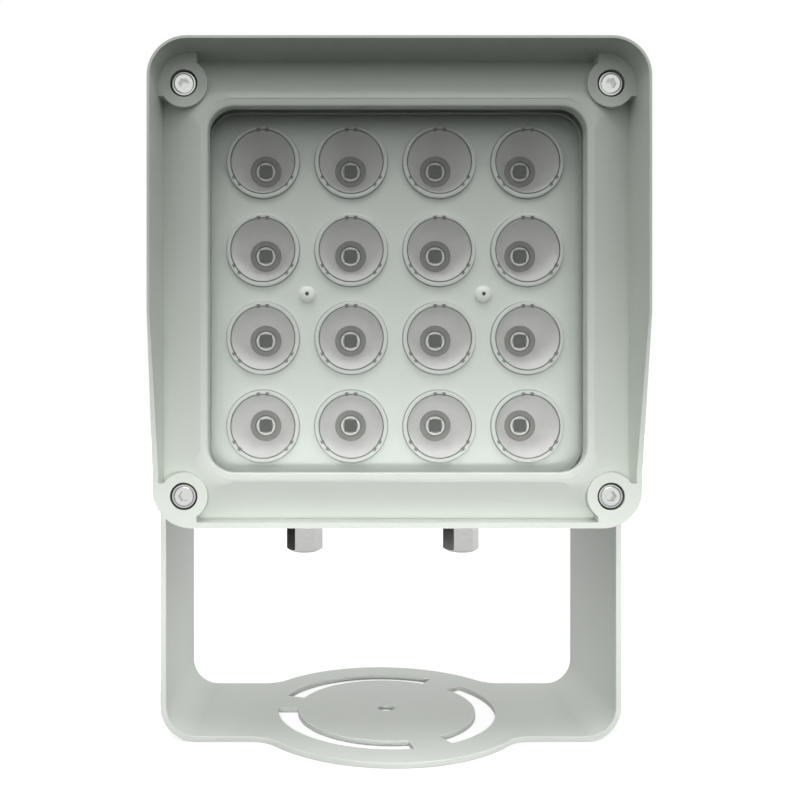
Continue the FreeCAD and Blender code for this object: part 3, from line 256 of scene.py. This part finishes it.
def grain_group():
    """Fine ripples with a slow drift of tone and gloss, for coats and mouldings."""
    name = "surface_grain"
    if name in bpy.data.node_groups:
        return bpy.data.node_groups[name]
    tree, start, end = new_group(name, (
        ("Colour", "NodeSocketColor", (0.6, 0.6, 0.6, 1.0)),
        ("Tone Drift", "NodeSocketFloat", 0.03),
        ("Grain Size", "NodeSocketFloat", 0.001),
        ("Roughness", "NodeSocketFloat", 0.4),
        ("Roughness Drift", "NodeSocketFloat", 0.06),
    ))
    link = tree.links.new
    place = add_node(tree, "ShaderNodeTexCoord")
    fineness = add_node(tree, "ShaderNodeMath", operation="DIVIDE")
    fineness.inputs[0].default_value = 1.0
    ripple = add_node(tree, "ShaderNodeTexNoise", Detail=2.0, Roughness=0.5)
    drift = add_node(tree, "ShaderNodeTexNoise", Scale=35.0, Detail=3.0, Roughness=0.6)
    link(start.outputs["Grain Size"], fineness.inputs[1])
    link(fineness.outputs[0], ripple.inputs["Scale"])
    link(place.outputs["Object"], ripple.inputs["Vector"])
    link(place.outputs["Object"], drift.inputs["Vector"])
    tone = add_node(tree, "ShaderNodeMapRange", From_Min=0.3, From_Max=0.7, To_Max=1.0)
    lowest = add_node(tree, "ShaderNodeMath", operation="SUBTRACT")
    lowest.inputs[0].default_value = 1.0
    link(start.outputs["Tone Drift"], lowest.inputs[1])
    link(drift.outputs["Fac"], tone.inputs["Value"])
    link(lowest.outputs[0], tone.inputs["To Min"])
    gloss = close_group(tree, start, end, tone, drift, ripple)
    link(start.outputs["Roughness Drift"], gloss.inputs[1])
    return tree


def turned_group():
    """Fine streaks, as a lathe or a mill leaves them, for screws and glands."""
    name = "turned_streaks"
    if name in bpy.data.node_groups:
        return bpy.data.node_groups[name]
    tree, start, end = new_group(name, (
        ("Colour", "NodeSocketColor", (0.7, 0.7, 0.7, 1.0)),
        ("Roughness", "NodeSocketFloat", 0.25),
    ))
    link = tree.links.new
    place = add_node(tree, "ShaderNodeTexCoord")
    stretch = add_node(tree, "ShaderNodeMapping")
    stretch.inputs["Scale"].default_value = (300.0, 300.0, 9000.0)
    streaks = add_node(tree, "ShaderNodeTexNoise", Scale=1.0, Detail=3.0, Roughness=0.6)
    link(place.outputs["Object"], stretch.inputs["Vector"])
    link(stretch.outputs["Vector"], streaks.inputs["Vector"])
    tone = add_node(
        tree, "ShaderNodeMapRange", From_Min=0.25, From_Max=0.75, To_Min=0.86, To_Max=1.0)
    link(streaks.outputs["Fac"], tone.inputs["Value"])
    gloss = close_group(tree, start, end, tone, streaks, streaks)
    gloss.inputs[1].default_value = 0.15
    return tree


def finished(name, group, relief, inputs, sockets):
    """A material whose colour, gloss and relief come from a shared group."""
    material = bpy.data.materials.new(name)
    material.use_nodes = True
    tree = material.node_tree
    shader = tree.nodes["Principled BSDF"]
    for word, value in sockets.items():
        shader.inputs[word.replace("_", " ")].default_value = value
    surface = add_node(tree, "ShaderNodeGroup", node_tree=group)
    for word, value in inputs.items():
        surface.inputs[word].default_value = value
    bump = add_node(tree, "ShaderNodeBump", Distance=relief)
    tree.links.new(surface.outputs["Colour"], shader.inputs["Base Color"])
    tree.links.new(surface.outputs["Roughness"], shader.inputs["Roughness"])
    tree.links.new(surface.outputs["Height"], bump.inputs["Height"])
    tree.links.new(bump.outputs["Normal"], shader.inputs["Normal"])
    return material


def grained(name, colour, roughness, drift=0.03, grain=0.9 * MM, relief=0.012 * MM, **sockets):
    """A coated or moulded surface."""
    name += "_finish"
    if name in bpy.data.materials:
        return bpy.data.materials[name]
    inputs = {
        "Colour": (*colour, 1.0), "Tone Drift": drift, "Grain Size": grain,
        "Roughness": roughness}
    return finished(name, grain_group(), relief, inputs, sockets)


def turned_metal(name, colour, roughness):
    """Bare or plated metal."""
    name += "_finish"
    if name in bpy.data.materials:
        return bpy.data.materials[name]
    inputs = {"Colour": (*colour, 1.0), "Roughness": roughness}
    return finished(name, turned_group(), 0.01 * MM, inputs, {"Metallic": 1.0})


def powder_coat(context, name="powder_coat", colour="coat"):
    """The coat of the castings or, with another name and colour, the bracket."""
    paint = context.scene.illuminator_paint
    return grained(
        name, getattr(paint, colour), paint.roughness, grain=paint.grain, relief=paint.relief)


def stainless():
    return turned_metal("stainless", (0.70, 0.70, 0.70), 0.22)


def zinc():
    return turned_metal("zinc_plate", (0.62, 0.63, 0.65), 0.3)


def black_rubber():
    return grained("black_rubber", (0.022, 0.022, 0.022), 0.6, drift=0.2, grain=0.5 * MM)


def dress(material, *names):
    """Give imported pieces, which stay as they are, a finish."""
    for name in names:
        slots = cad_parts[name].data.materials
        slots.clear()
        slots.append(material)


# Pieces


def show(name, mesh, body, matrix=Matrix.Identity(4), replaced=()):
    """Put a piece in the scene, riding on a body, in place of packed ones if any."""
    piece = bpy.data.objects.new(name, mesh)
    piece.matrix_world = matrix
    bpy.context.scene.collection.objects.link(piece)
    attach(piece, body)
    if replaced:
        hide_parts(*replaced)
    return piece


def softened(node, material, width, body=HEAD):
    """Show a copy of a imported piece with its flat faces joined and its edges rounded."""
    form = bmesh.new()
    form.from_mesh(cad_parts[node].data)
    bmesh.ops.remove_doubles(form, verts=form.verts, dist=WELD)
    bmesh.ops.dissolve_limit(form, angle_limit=FLAT_ANGLE, verts=form.verts, edges=form.edges)
    for face in form.faces:
        face.smooth = True
    mesh = bpy.data.meshes.new(node + "_soft")
    form.to_mesh(mesh)
    form.free()
    mesh.materials.clear()
    mesh.materials.append(material)
    piece = show(node + "_soft", mesh, body, replaced=[node])
    rounding = piece.modifiers.new("rounding", "BEVEL")
    rounding.width = width
    rounding.segments = 2
    rounding.limit_method = "ANGLE"
    rounding.angle_limit = ROUNDED_ANGLE
    rounding.use_clamp_overlap = True
    flats = piece.modifiers.new("flat faces", "WEIGHTED_NORMAL")
    flats.mode = "FACE_AREA"
    flats.weight = 100
    flats.keep_sharp = False


def ring_mesh(name, sections, closed, materials, zone_at=None):
    """Join sections, each a list of points, in a ring. The last point of a
    closed section joins its first. zone_at gives the material's number for a
    turn and a row, where a piece has several."""
    rows = len(sections[0])
    faces = []
    zones = []
    for turn in range(len(sections)):
        here = turn * rows
        there = (turn + 1) % len(sections) * rows
        for row in range(rows if closed else rows - 1):
            after = (row + 1) % rows
            faces.append((here + row, here + after, there + after, there + row))
            zones.append(zone_at(turn, row) if zone_at else 0)
    mesh = bpy.data.meshes.new(name)
    mesh.from_pydata([point for section in sections for point in section], [], faces)
    for material in materials:
        mesh.materials.append(material)
    for polygon, zone in zip(mesh.polygons, zones):
        polygon.material_index = zone
        polygon.use_smooth = True
    form = bmesh.new()
    form.from_mesh(mesh)
    bmesh.ops.remove_doubles(form, verts=form.verts, dist=FINE_WELD)
    bmesh.ops.recalc_face_normals(form, faces=form.faces)
    form.to_mesh(mesh)
    form.free()
    mesh.set_sharp_from_angle(angle=SHARP_ANGLE)
    return mesh


def lathe(name, profile, turns, materials, zones):
    """Turn a profile round +Z. A profile gives (radius, height, slot height)
    in millimetres, and a turn gives (degrees, whether it lies in a slot). A
    zone gives a row's material, plain and in a slot."""
    sections = []
    for angle, slotted in turns:
        across = math.cos(math.radians(angle)) * MM
        along = math.sin(math.radians(angle)) * MM
        sections.append([
            (radius * across, radius * along, (slot_height if slotted else height) * MM)
            for radius, height, slot_height in profile])

    def zone_at(turn, row):
        slotted = turns[turn][1] and turns[(turn + 1) % len(turns)][1]
        return zones[row][slotted]

    return ring_mesh(name, sections, False, materials, zone_at)


def round_piece(name, profile, materials, counts):
    """Turn a profile of (radius, height) round +Z, in millimetres. The counts
    give (material's number, rows) from the profile's start to its end."""
    turns = [(360.0 * number / ROUND_STEPS, False) for number in range(ROUND_STEPS)]
    zones = [(number, number) for number, count in counts for row in range(count)]
    levels = [(radius, height, height) for radius, height in profile]
    return lathe(name, levels, turns, materials, zones)


def framed(name, profile, half_width, half_height, corner, material):
    """Run a closed profile round a rectangle with round corners. It gives
    (how far out, height), and all sizes are in millimetres."""
    sections = []
    for across_sign, up_sign, start in ((1, 1, 0), (-1, 1, 90), (-1, -1, 180), (1, -1, 270)):
        across = across_sign * (half_width - corner)
        up = up_sign * (half_height - corner)
        for step in range(CORNER_STEPS + 1):
            angle = math.radians(start + 90 * step / CORNER_STEPS)
            sections.append([
                ((across + (corner + out) * math.cos(angle)) * MM,
                 (up + (corner + out) * math.sin(angle)) * MM,
                 height * MM)
                for out, height in profile])
    return ring_mesh(name, sections, True, [material])


def front_of(node):
    """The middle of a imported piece's front face."""
    low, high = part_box(node)
    return Vector(((low.x + high.x) / 2, low.y, (low.z + high.z) / 2))


def facing(place):
    """Turn a piece to the front and move it to a place."""
    return Matrix.Translation(place) @ FORWARD


class PieceOperator:
    bl_options = {"REGISTER", "UNDO"}


class BuildCastings(PieceOperator, bpy.types.Operator):
    """Front cover and rear housing, with rounded edges and powder coat"""
    bl_idname = "illuminator.build_castings"
    bl_label = "Finish the castings"

    def execute(self, context):
        coat = powder_coat(context)
        width = context.scene.illuminator_edges.casting
        softened("front_cover", coat, width)
        softened("rear_housing", coat, width)
        dress(black_rubber(), "cover_gasket")
        return {"FINISHED"}


class BuildBracket(PieceOperator, bpy.types.Operator):
    """Bent sheet bracket with rounded edges and powder coat"""
    bl_idname = "illuminator.build_bracket"
    bl_label = "Finish the bracket"

    def execute(self, context):
        width = context.scene.illuminator_edges.sheet
        coat = powder_coat(context, "bracket_coat", "bracket")
        softened("mounting_bracket", coat, width, body=BRACKET)
        return {"FINISHED"}


class BuildOpening(PieceOperator, bpy.types.Operator):
    """Rounded lip round the opening, over the cover's bevel"""
    bl_idname = "illuminator.build_opening"
    bl_label = "Build the opening's lip"

    def execute(self, context):
        profile = [
            (2.5, 61.6), (2.3, 61.82), (0.65, 61.82), (0.38, 61.76), (0.17, 61.62),
            (0.04, 61.42), (0.0, 61.15), (0.0, 59.0),
        ]
        lip = framed(
            "opening_lip", profile, LIP_HALF_WIDTH, LIP_HALF_HEIGHT, LIP_CORNER,
            powder_coat(context))
        show("opening_lip", lip, HEAD, PIVOT @ FORWARD)
        return {"FINISHED"}


class BuildWindow(PieceOperator, bpy.types.Operator):
    """Clear glass with its gasket, its retaining ring and the ring's screws"""
    bl_idname = "illuminator.build_window"
    bl_label = "Finish the window"

    def execute(self, context):
        paint = context.scene.illuminator_paint
        clear = grained(
            "window_glass", (0.82, 0.93, 0.87), 0.02, drift=0.01, relief=0.001 * MM, Alpha=0.05)
        dress(clear, "window_glass")
        dress(grained("silicone", (0.42, 0.43, 0.42), 0.5, drift=0.1), "window_gasket")
        dress(grained("retainer_coat", paint.retainer, 0.5), "window_retainer")
        dress(zinc(), "retainer_screws")
        return {"FINISHED"}


class BuildPlate(PieceOperator, bpy.types.Operator):
    """Painted lens plate, its spacers and its two domed white screws"""
    bl_idname = "illuminator.build_plate"
    bl_label = "Finish the lens plate"

    def execute(self, context):
        paint = context.scene.illuminator_paint
        coat = grained("plate_paint", paint.plate, 0.45, relief=0.008 * MM)
        dress(coat, "lens_plate")
        dress(zinc(), "plate_spacers")
        white = grained("white_coat", paint.screw, 0.28, drift=0.02, relief=0.004 * MM)
        # Near-black in the recess of each screw head: painted shade
        shadow = grained("screw_recess_shade", (0.05, 0.05, 0.05), 0.6)
        for side in SIDES:
            node = "plate_screw_" + side
            low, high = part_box(node)
            shank = (low.y - high.y) / MM + PLATE_HEAD_HEIGHT
            profile = [
                (0.01, shank), (1.5, shank), (1.5, 0.0), (2.75, 0.0), (2.75, 0.35),
                (2.62, 0.72), (2.3, 1.1), (1.75, 1.42), (1.15, 1.62),
                (0.75, PLATE_HEAD_HEIGHT), (0.66, 1.66), (0.6, 1.5), (0.55, 0.9), (0.01, 0.85),
            ]
            # The last two rows, the recess's wall and floor, take the painted shade
            dome = round_piece(node + "_domed", profile, [white, shadow], ((0, 11), (1, 2)))
            seat = front_of(node) + Vector((0, PLATE_HEAD_HEIGHT * MM, 0))
            show(node + "_domed", dome, HEAD, facing(seat), [node])
        return {"FINISHED"}


def lens_profile(groove, bulge):
    """A lens's section, and its rows' materials: flange 0, bowl 1, floor 2, groove 3. The groove's
    near-black and the floor colour on the slots' faces are painted shade.
    """
    slot = SLOT_HEIGHT
    mouth, mouth_height = BOWL_MOUTH
    foot, floor_height = BOWL_FLOOR
    profile = [
        (3.5, LENS_FOOT, LENS_FOOT), (6.3, LENS_FOOT, LENS_FOOT),
        (6.3, floor_height, floor_height), (10.3, -3.7, -3.7),
        (12.55, -3.7, -3.7), (12.55, -2.7, -2.7), (11.7, -2.7, -2.7), (11.7, -0.3, -0.3),
        (11.62, -0.1, -0.1), (11.42, 0.0, 0.0), (11.02, 0.0, 0.0), (10.99, 0.0, slot),
        (10.5, 0.0, slot), (10.44, -0.06, slot), (10.4, groove, slot), (10.22, groove, slot),
        (10.16, -0.16, slot), (10.06, -0.06, slot), (9.96, -0.14, slot),
        (mouth, mouth_height, -0.86),
    ]
    # In the clips' slots the rows take the floor's dark colour (2), which is painted shade in the
    # slots. The groove's own rows take its near-black (3), which is painted shade too.
    zones = [(0, 0)] * 11 + [(0, 2)] * 2 + [(3, 2)] * 3 + [(0, 2)] * 3
    for step in range(1, BOWL_STEPS + 1):
        share = step / BOWL_STEPS
        radius = mouth + (foot - mouth) * share + bulge * math.sin(math.pi * share)
        height = mouth_height + (floor_height - mouth_height) * share
        profile.append((radius, height, height))
        zones.append((1, 1))
    profile += [(3.6, floor_height, floor_height), (3.5, -12.5, -12.5), (3.5, LENS_FOOT, LENS_FOOT)]
    zones += [(2, 2)] * 3
    return profile, zones


def lens_turns():
    """Turns round a lens, with those of the clips' slots between the even ones."""
    turns = []
    for angle in range(0, 360, LENS_STEP):
        if all(abs((angle - clip + 180) % 360 - 180) > CLIP_REACH for clip in CLIP_TURNS):
            turns.append((float(angle), False))
    for clip in CLIP_TURNS:
        for side in (-1, 1):
            turns += [((clip + side * turn) % 360, slotted) for turn, slotted in CLIP_EDGES]
    return sorted(turns)


class BuildLenses(PieceOperator, bpy.types.Operator):
    """Sixteen optics, each with its flange, clips, groove and satin bowl"""
    bl_idname = "illuminator.build_lenses"
    bl_label = "Build the lenses"

    def execute(self, context):
        look = context.scene.illuminator_lens
        surfaces = [
            grained("lens_flange", look.flange, 0.12, drift=0.05, relief=0.004 * MM,
                    Coat_Weight=0.5),
            grained("lens_bowl", look.bowl, 0.3, drift=0.06, grain=0.6 * MM, relief=0.006 * MM,
                    Coat_Weight=0.25),
            # Bowl's floor, whose dark colour also stands on the clips' slots as painted shade
            grained("lens_floor_and_slot_shade", look.floor, 0.35, drift=0.1),
            # Near-black in the groove inside the flange: painted shade
            grained("lens_groove_shade", (0.06, 0.06, 0.055), 0.5, drift=0.2),
        ]
        profile, zones = lens_profile(-look.groove / MM, look.bulge / MM)
        mesh = lathe("lens_optic", profile, lens_turns(), surfaces, zones)
        for node in LENSES:
            show(node + "_optic", mesh, HEAD, facing(front_of(node)), [node])
        return {"FINISHED"}


def bevelled_block(sides, lift, bevel):
    """A block with its base at a height over the origin, all in millimetres."""
    form = bmesh.new()
    bmesh.ops.create_cube(form, size=MM)
    bmesh.ops.scale(form, verts=form.verts, vec=sides)
    bmesh.ops.translate(form, verts=form.verts, vec=(0, 0, (lift + sides[2] / 2) * MM))
    bmesh.ops.bevel(form, geom=form.edges[:], offset=bevel * MM, segments=2, affect="EDGES")
    return form


class BuildEmitters(PieceOperator, bpy.types.Operator):
    """Sixteen emitters: a round package, a pale ring and a square chip"""
    bl_idname = "illuminator.build_emitters"
    bl_label = "Build the emitters"

    def execute(self, context):
        look = context.scene.illuminator_lens
        surfaces = [
            grained("emitter_package", (0.30, 0.29, 0.28), 0.4, drift=0.1),
            grained("emitter_ring", look.ring, 0.15, drift=0.04, relief=0.003 * MM,
                    Coat_Weight=0.6),
            grained("emitter_chip", look.chip, 0.35, drift=0.25, grain=0.3 * MM),
        ]
        bevel_in, bevel_down = PACKAGE_BEVEL
        profile = [
            (0.01, 0.0), (PACKAGE_RADIUS, 0.0), (PACKAGE_RADIUS, PACKAGE_HEIGHT - bevel_down),
            (PACKAGE_RADIUS - bevel_in, PACKAGE_HEIGHT),
        ]
        for step in range(RING_STEPS + 1):
            turn = math.pi * step / RING_STEPS
            profile.append((
                RING_RADIUS + RING_REACH * math.cos(turn),
                PACKAGE_HEIGHT + RING_RISE * math.sin(turn)))
        profile.append((0.01, PACKAGE_HEIGHT))
        package = round_piece(
            "emitter", profile, surfaces, ((0, 3), (1, RING_STEPS + 1), (0, 1)))
        form = bevelled_block(CHIP_SIDES, PACKAGE_HEIGHT, CHIP_BEVEL)
        for face in form.faces:
            face.material_index = 2
        form.from_mesh(package)
        form.to_mesh(package)
        form.free()
        for row in ROWS:
            board_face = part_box(row)[1].y
            for lens in LENSES:
                if lens.startswith("lens_r%s_" % row[-1]):
                    seat = front_of(lens)
                    seat.y = board_face
                    name = lens.replace("lens", "emitter")
                    show(name, package, HEAD, facing(seat), [row])
        return {"FINISHED"}


class BuildFixings(PieceOperator, bpy.types.Operator):
    """Cover screws with their seals, pivot bolts and washers"""
    bl_idname = "illuminator.build_fixings"
    bl_label = "Finish the fixings"

    def execute(self, context):
        width = context.scene.illuminator_edges.metal
        bright = grained(
            "cap_screw", (0.72, 0.73, 0.72), 0.2, drift=0.06, grain=0.4 * MM,
            relief=0.004 * MM, Metallic=1.0)
        softened("cover_screws", bright, width)
        profile = [
            (3.28, 58.0), (4.31, 58.0), (4.31, 60.1), (4.1, 60.35), (3.72, 60.35),
            (3.7, 60.75), (3.6, 60.9), (3.42, 60.95), (3.28, 60.95), (3.28, 58.0),
        ]
        seal = round_piece("screw_seal", profile, [black_rubber(), bright], ((0, 4), (1, 5)))
        for up_word, up in (("top", SCREW_UP), ("bottom", -SCREW_UP)):
            for side, across in (("left", -SCREW_ACROSS), ("right", SCREW_ACROSS)):
                place = Matrix.Translation((across * MM, 0.0, up * MM))
                name = "screw_seal_%s_%s" % (side, up_word)
                show(name, seal, HEAD, place @ PIVOT @ FORWARD)
        nylon = grained("black_nylon", (0.03, 0.03, 0.032), 0.45, drift=0.1)
        for side in SIDES:
            for piece in ("pivot_bolt_", "flat_washer_", "spring_washer_"):
                softened(piece + side, stainless(), width)
            dress(nylon, "friction_washer_" + side)
        return {"FINISHED"}


class BuildGlands(PieceOperator, bpy.types.Operator):
    """Nickel-plated cable glands with their seals"""
    bl_idname = "illuminator.build_glands"
    bl_label = "Finish the cable glands"

    def execute(self, context):
        nickel = turned_metal("nickel_plate", (0.64, 0.635, 0.63), 0.12)
        width = context.scene.illuminator_edges.metal
        for side in SIDES:
            softened("gland_body_" + side, nickel, width)
            softened("gland_nut_" + side, nickel, width)
            dress(black_rubber(), "gland_washer_" + side, "gland_seal_" + side)
        return {"FINISHED"}


class DressInside(PieceOperator, bpy.types.Operator):
    """Finishes for the boards, the spreader and the driver inside the head"""
    bl_idname = "illuminator.dress_inside"
    bl_label = "Dress the inside"

    def execute(self, context):
        dress(grained("board_coat", (0.20, 0.20, 0.20), 0.4), "led_board")
        dress(grained("driver_laminate", (0.035, 0.17, 0.08), 0.4), "driver_board")
        dress(grained("soft_pad", (0.42, 0.47, 0.55), 0.7, grain=0.4 * MM), "thermal_pad")
        dress(grained("milled_aluminium", (0.72, 0.72, 0.73), 0.35, Metallic=1.0), "heat_spreader")
        dress(grained("copper_winding", (0.40, 0.16, 0.05), 0.35, drift=0.3, relief=0.05 * MM),
              "driver_inductor")
        dress(grained("sleeved_can", (0.03, 0.04, 0.08), 0.25), "driver_capacitors")
        dress(grained("terminal_moulding", (0.06, 0.28, 0.12), 0.4), "terminal_block")
        dress(zinc(), "board_screws", "spreader_screws", "driver_screws")
        return {"FINISHED"}


class SetStage(PieceOperator, bpy.types.Operator):
    """Pale floor and room, soft lamps, and the camera at the photograph's viewpoint"""
    bl_idname = "illuminator.set_stage"
    bl_label = "Set the stage"

    def execute(self, context):
        stage = context.scene.illuminator_stage
        context.scene.view_settings.view_transform = "Standard"
        make_camera(stage)
        make_floor()
        make_room(stage)
        make_card("left_card", across=-0.26, near=-0.2, far=0.3)
        make_card("right_card", across=0.26, near=-0.19, far=-0.06)
        make_lamp(
            "top_lamp", stage.top, size=(0.7, 0.5), place=(0.0, -0.35, 1.0),
            aim=(0.0, 0.0, 0.15), spread=180, mirrored=True)
        make_lamp(
            "low_lamp", stage.low, size=(0.3, 0.03), place=(0.0, -0.28, 0.05),
            aim=(0.0, -0.06, 0.06), spread=60)
        for name, side, share in (("right_lamp", 1, 1.0), ("left_lamp", -1, LEFT_LAMP_SHARE)):
            make_lamp(
                name, stage.sides * share, size=(0.1, 0.01), place=(side * 0.5, -0.25, 0.01),
                aim=(side * -0.08, 0.0, 0.035), spread=20)
        return {"FINISHED"}


def seen_by_eye(tree):
    """1 where the camera looks, straight, through glass or by a mirror, else 0."""
    rays = add_node(tree, "ShaderNodeLightPath")
    straight = add_node(tree, "ShaderNodeMath", operation="MAXIMUM")
    every = add_node(tree, "ShaderNodeMath", operation="MAXIMUM")
    tree.links.new(rays.outputs["Is Camera Ray"], straight.inputs[0])
    tree.links.new(rays.outputs["Is Glossy Ray"], straight.inputs[1])
    tree.links.new(straight.outputs[0], every.inputs[0])
    tree.links.new(rays.outputs["Is Transmission Ray"], every.inputs[1])
    return every.outputs[0]


def flat_piece(name, corners):
    """Put a flat piece of the stage in the scene, and give it a matt material."""
    mesh = bpy.data.meshes.new(name)
    mesh.from_pydata(corners, [], [(0, 1, 2, 3)])
    piece = bpy.data.objects.new(name, mesh)
    bpy.context.scene.collection.objects.link(piece)
    material = bpy.data.materials.new(name)
    material.use_nodes = True
    tree = material.node_tree
    tree.nodes["Principled BSDF"].inputs["Specular IOR Level"].default_value = 0.0
    mesh.materials.append(material)
    return piece, tree


def make_floor():
    """A floor that is white to the eye, keeps the shadow near the object and
    throws almost no light back on it."""
    reach = FLOOR_REACH
    floor, tree = flat_piece(
        "floor", [(-reach, -reach, 0), (reach, -reach, 0), (reach, reach, 0), (-reach, reach, 0)])
    floor.location.z = packed_box[0].z - FLOOR_GAP
    shader = tree.nodes["Principled BSDF"]
    shader.inputs["Roughness"].default_value = 1.0
    shader.inputs["Emission Color"].default_value = (1.0, 1.0, 1.0, 1.0)
    link = tree.links.new
    place = add_node(tree, "ShaderNodeTexCoord")
    away = add_node(tree, "ShaderNodeVectorMath", operation="LENGTH")
    glow = add_node(
        tree, "ShaderNodeMapRange", From_Min=0.1, From_Max=0.6, To_Min=0.75, To_Max=1.0)
    lift = add_node(tree, "ShaderNodeMath", operation="MULTIPLY")
    tone = add_node(tree, "ShaderNodeMapRange", To_Min=0.03, To_Max=0.45)
    camera = add_node(tree, "ShaderNodeLightPath")
    link(place.outputs["Object"], away.inputs[0])
    link(away.outputs["Value"], glow.inputs["Value"])
    link(glow.outputs["Result"], lift.inputs[0])
    link(seen_by_eye(tree), lift.inputs[1])
    link(camera.outputs["Is Camera Ray"], tone.inputs["Value"])
    link(tone.outputs["Result"], shader.inputs["Base Color"])
    link(lift.outputs[0], shader.inputs["Emission Strength"])


def make_room(stage):
    """A white room to the eye, and an upper and a lower half as light."""
    world = bpy.context.scene.world or bpy.data.worlds.new("room")
    bpy.context.scene.world = world
    world.use_nodes = True
    tree = world.node_tree
    background = tree.nodes["Background"]
    background.inputs["Color"].default_value = (1.0, 1.0, 1.0, 1.0)
    place = add_node(tree, "ShaderNodeTexCoord")
    parts = add_node(tree, "ShaderNodeSeparateXYZ")
    halves = add_node(
        tree, "ShaderNodeMapRange", From_Min=-0.15, From_Max=0.25,
        To_Min=stage.ground, To_Max=stage.sky)
    strength = add_node(tree, "ShaderNodeMix", data_type="FLOAT")
    strength.inputs["B"].default_value = 1.0
    tree.links.new(place.outputs["Generated"], parts.inputs[0])
    tree.links.new(parts.outputs["Z"], halves.inputs["Value"])
    tree.links.new(seen_by_eye(tree), strength.inputs["Factor"])
    tree.links.new(halves.outputs["Result"], strength.inputs["A"])
    tree.links.new(strength.outputs["Result"], background.inputs["Strength"])


def make_card(name, across, near, far):
    """A dark upright card beside the object, which only shows in its metal."""
    card, tree = flat_piece(name, [
        (across, near, 0), (across, far, 0),
        (across, far, CARD_HEIGHT), (across, near, CARD_HEIGHT)])
    card.visible_camera = False
    card.visible_diffuse = False
    card.visible_transmission = False
    card.visible_shadow = False
    tree.nodes["Principled BSDF"].inputs["Base Color"].default_value = (0.02, 0.02, 0.02, 1.0)


def make_lamp(name, power, size, place, aim, spread, mirrored=False):
    """An area lamp. Only a mirrored one shows in shiny pieces."""
    lamp = bpy.data.lights.new(name, "AREA")
    lamp.energy = power
    lamp.shape = "RECTANGLE"
    lamp.size, lamp.size_y = size
    lamp.spread = math.radians(spread)
    holder = bpy.data.objects.new(name, lamp)
    holder.location = place
    holder.rotation_euler = (Vector(aim) - Vector(place)).to_track_quat("-Z", "Y").to_euler()
    bpy.context.scene.collection.objects.link(holder)
    holder.visible_glossy = mirrored


def make_camera(stage):
    """A camera that looks level, with the picture shifted to frame the object."""
    camera = bpy.data.cameras.new("camera")
    camera.lens = stage.focus
    camera.shift_x = stage.shift_across
    camera.shift_y = stage.shift_up
    camera.clip_start = 0.01
    holder = bpy.data.objects.new("camera", camera)
    holder.location = (stage.across, -stage.back, stage.up)
    holder.rotation_euler = (math.radians(90), 0, 0)
    bpy.context.scene.collection.objects.link(holder)
    bpy.context.scene.camera = holder


STEPS = (
    SetStage, BuildCastings, BuildBracket, BuildOpening, BuildWindow, BuildPlate, BuildLenses,
    BuildEmitters, BuildFixings, BuildGlands, DressInside,
)
SETTINGS = {
    "illuminator_paint": PaintSettings,
    "illuminator_edges": EdgeSettings,
    "illuminator_lens": LensSettings,
    "illuminator_stage": StageSettings,
}


class IlluminatorPanel(bpy.types.Panel):
    """The settings, and the steps in the order in which they are run"""
    bl_idname = "VIEW3D_PT_illuminator"
    bl_label = "Infrared illuminator"
    bl_space_type = "VIEW_3D"
    bl_region_type = "UI"
    bl_category = "Illuminator"

    def draw(self, context):
        for word, group in SETTINGS.items():
            box = self.layout.box()
            for name in group.__annotations__:
                box.prop(getattr(context.scene, word), name)
        for step in STEPS:
            self.layout.operator(step.bl_idname)


CLASSES = (*SETTINGS.values(), *STEPS, IlluminatorPanel)


def register():
    for cls in CLASSES:
        bpy.utils.register_class(cls)
    for word, group in SETTINGS.items():
        setattr(bpy.types.Scene, word, bpy.props.PointerProperty(type=group))


def unregister():
    for word in SETTINGS:
        delattr(bpy.types.Scene, word)
    for cls in reversed(CLASSES):
        bpy.utils.unregister_class(cls)


def main():
    register()
    for step in STEPS:
        group, name = step.bl_idname.split(".")
        if getattr(getattr(bpy.ops, group), name)() != {"FINISHED"}:
            raise RuntimeError(step.bl_label + " did not finish")


if __name__ == "__main__":
    main()
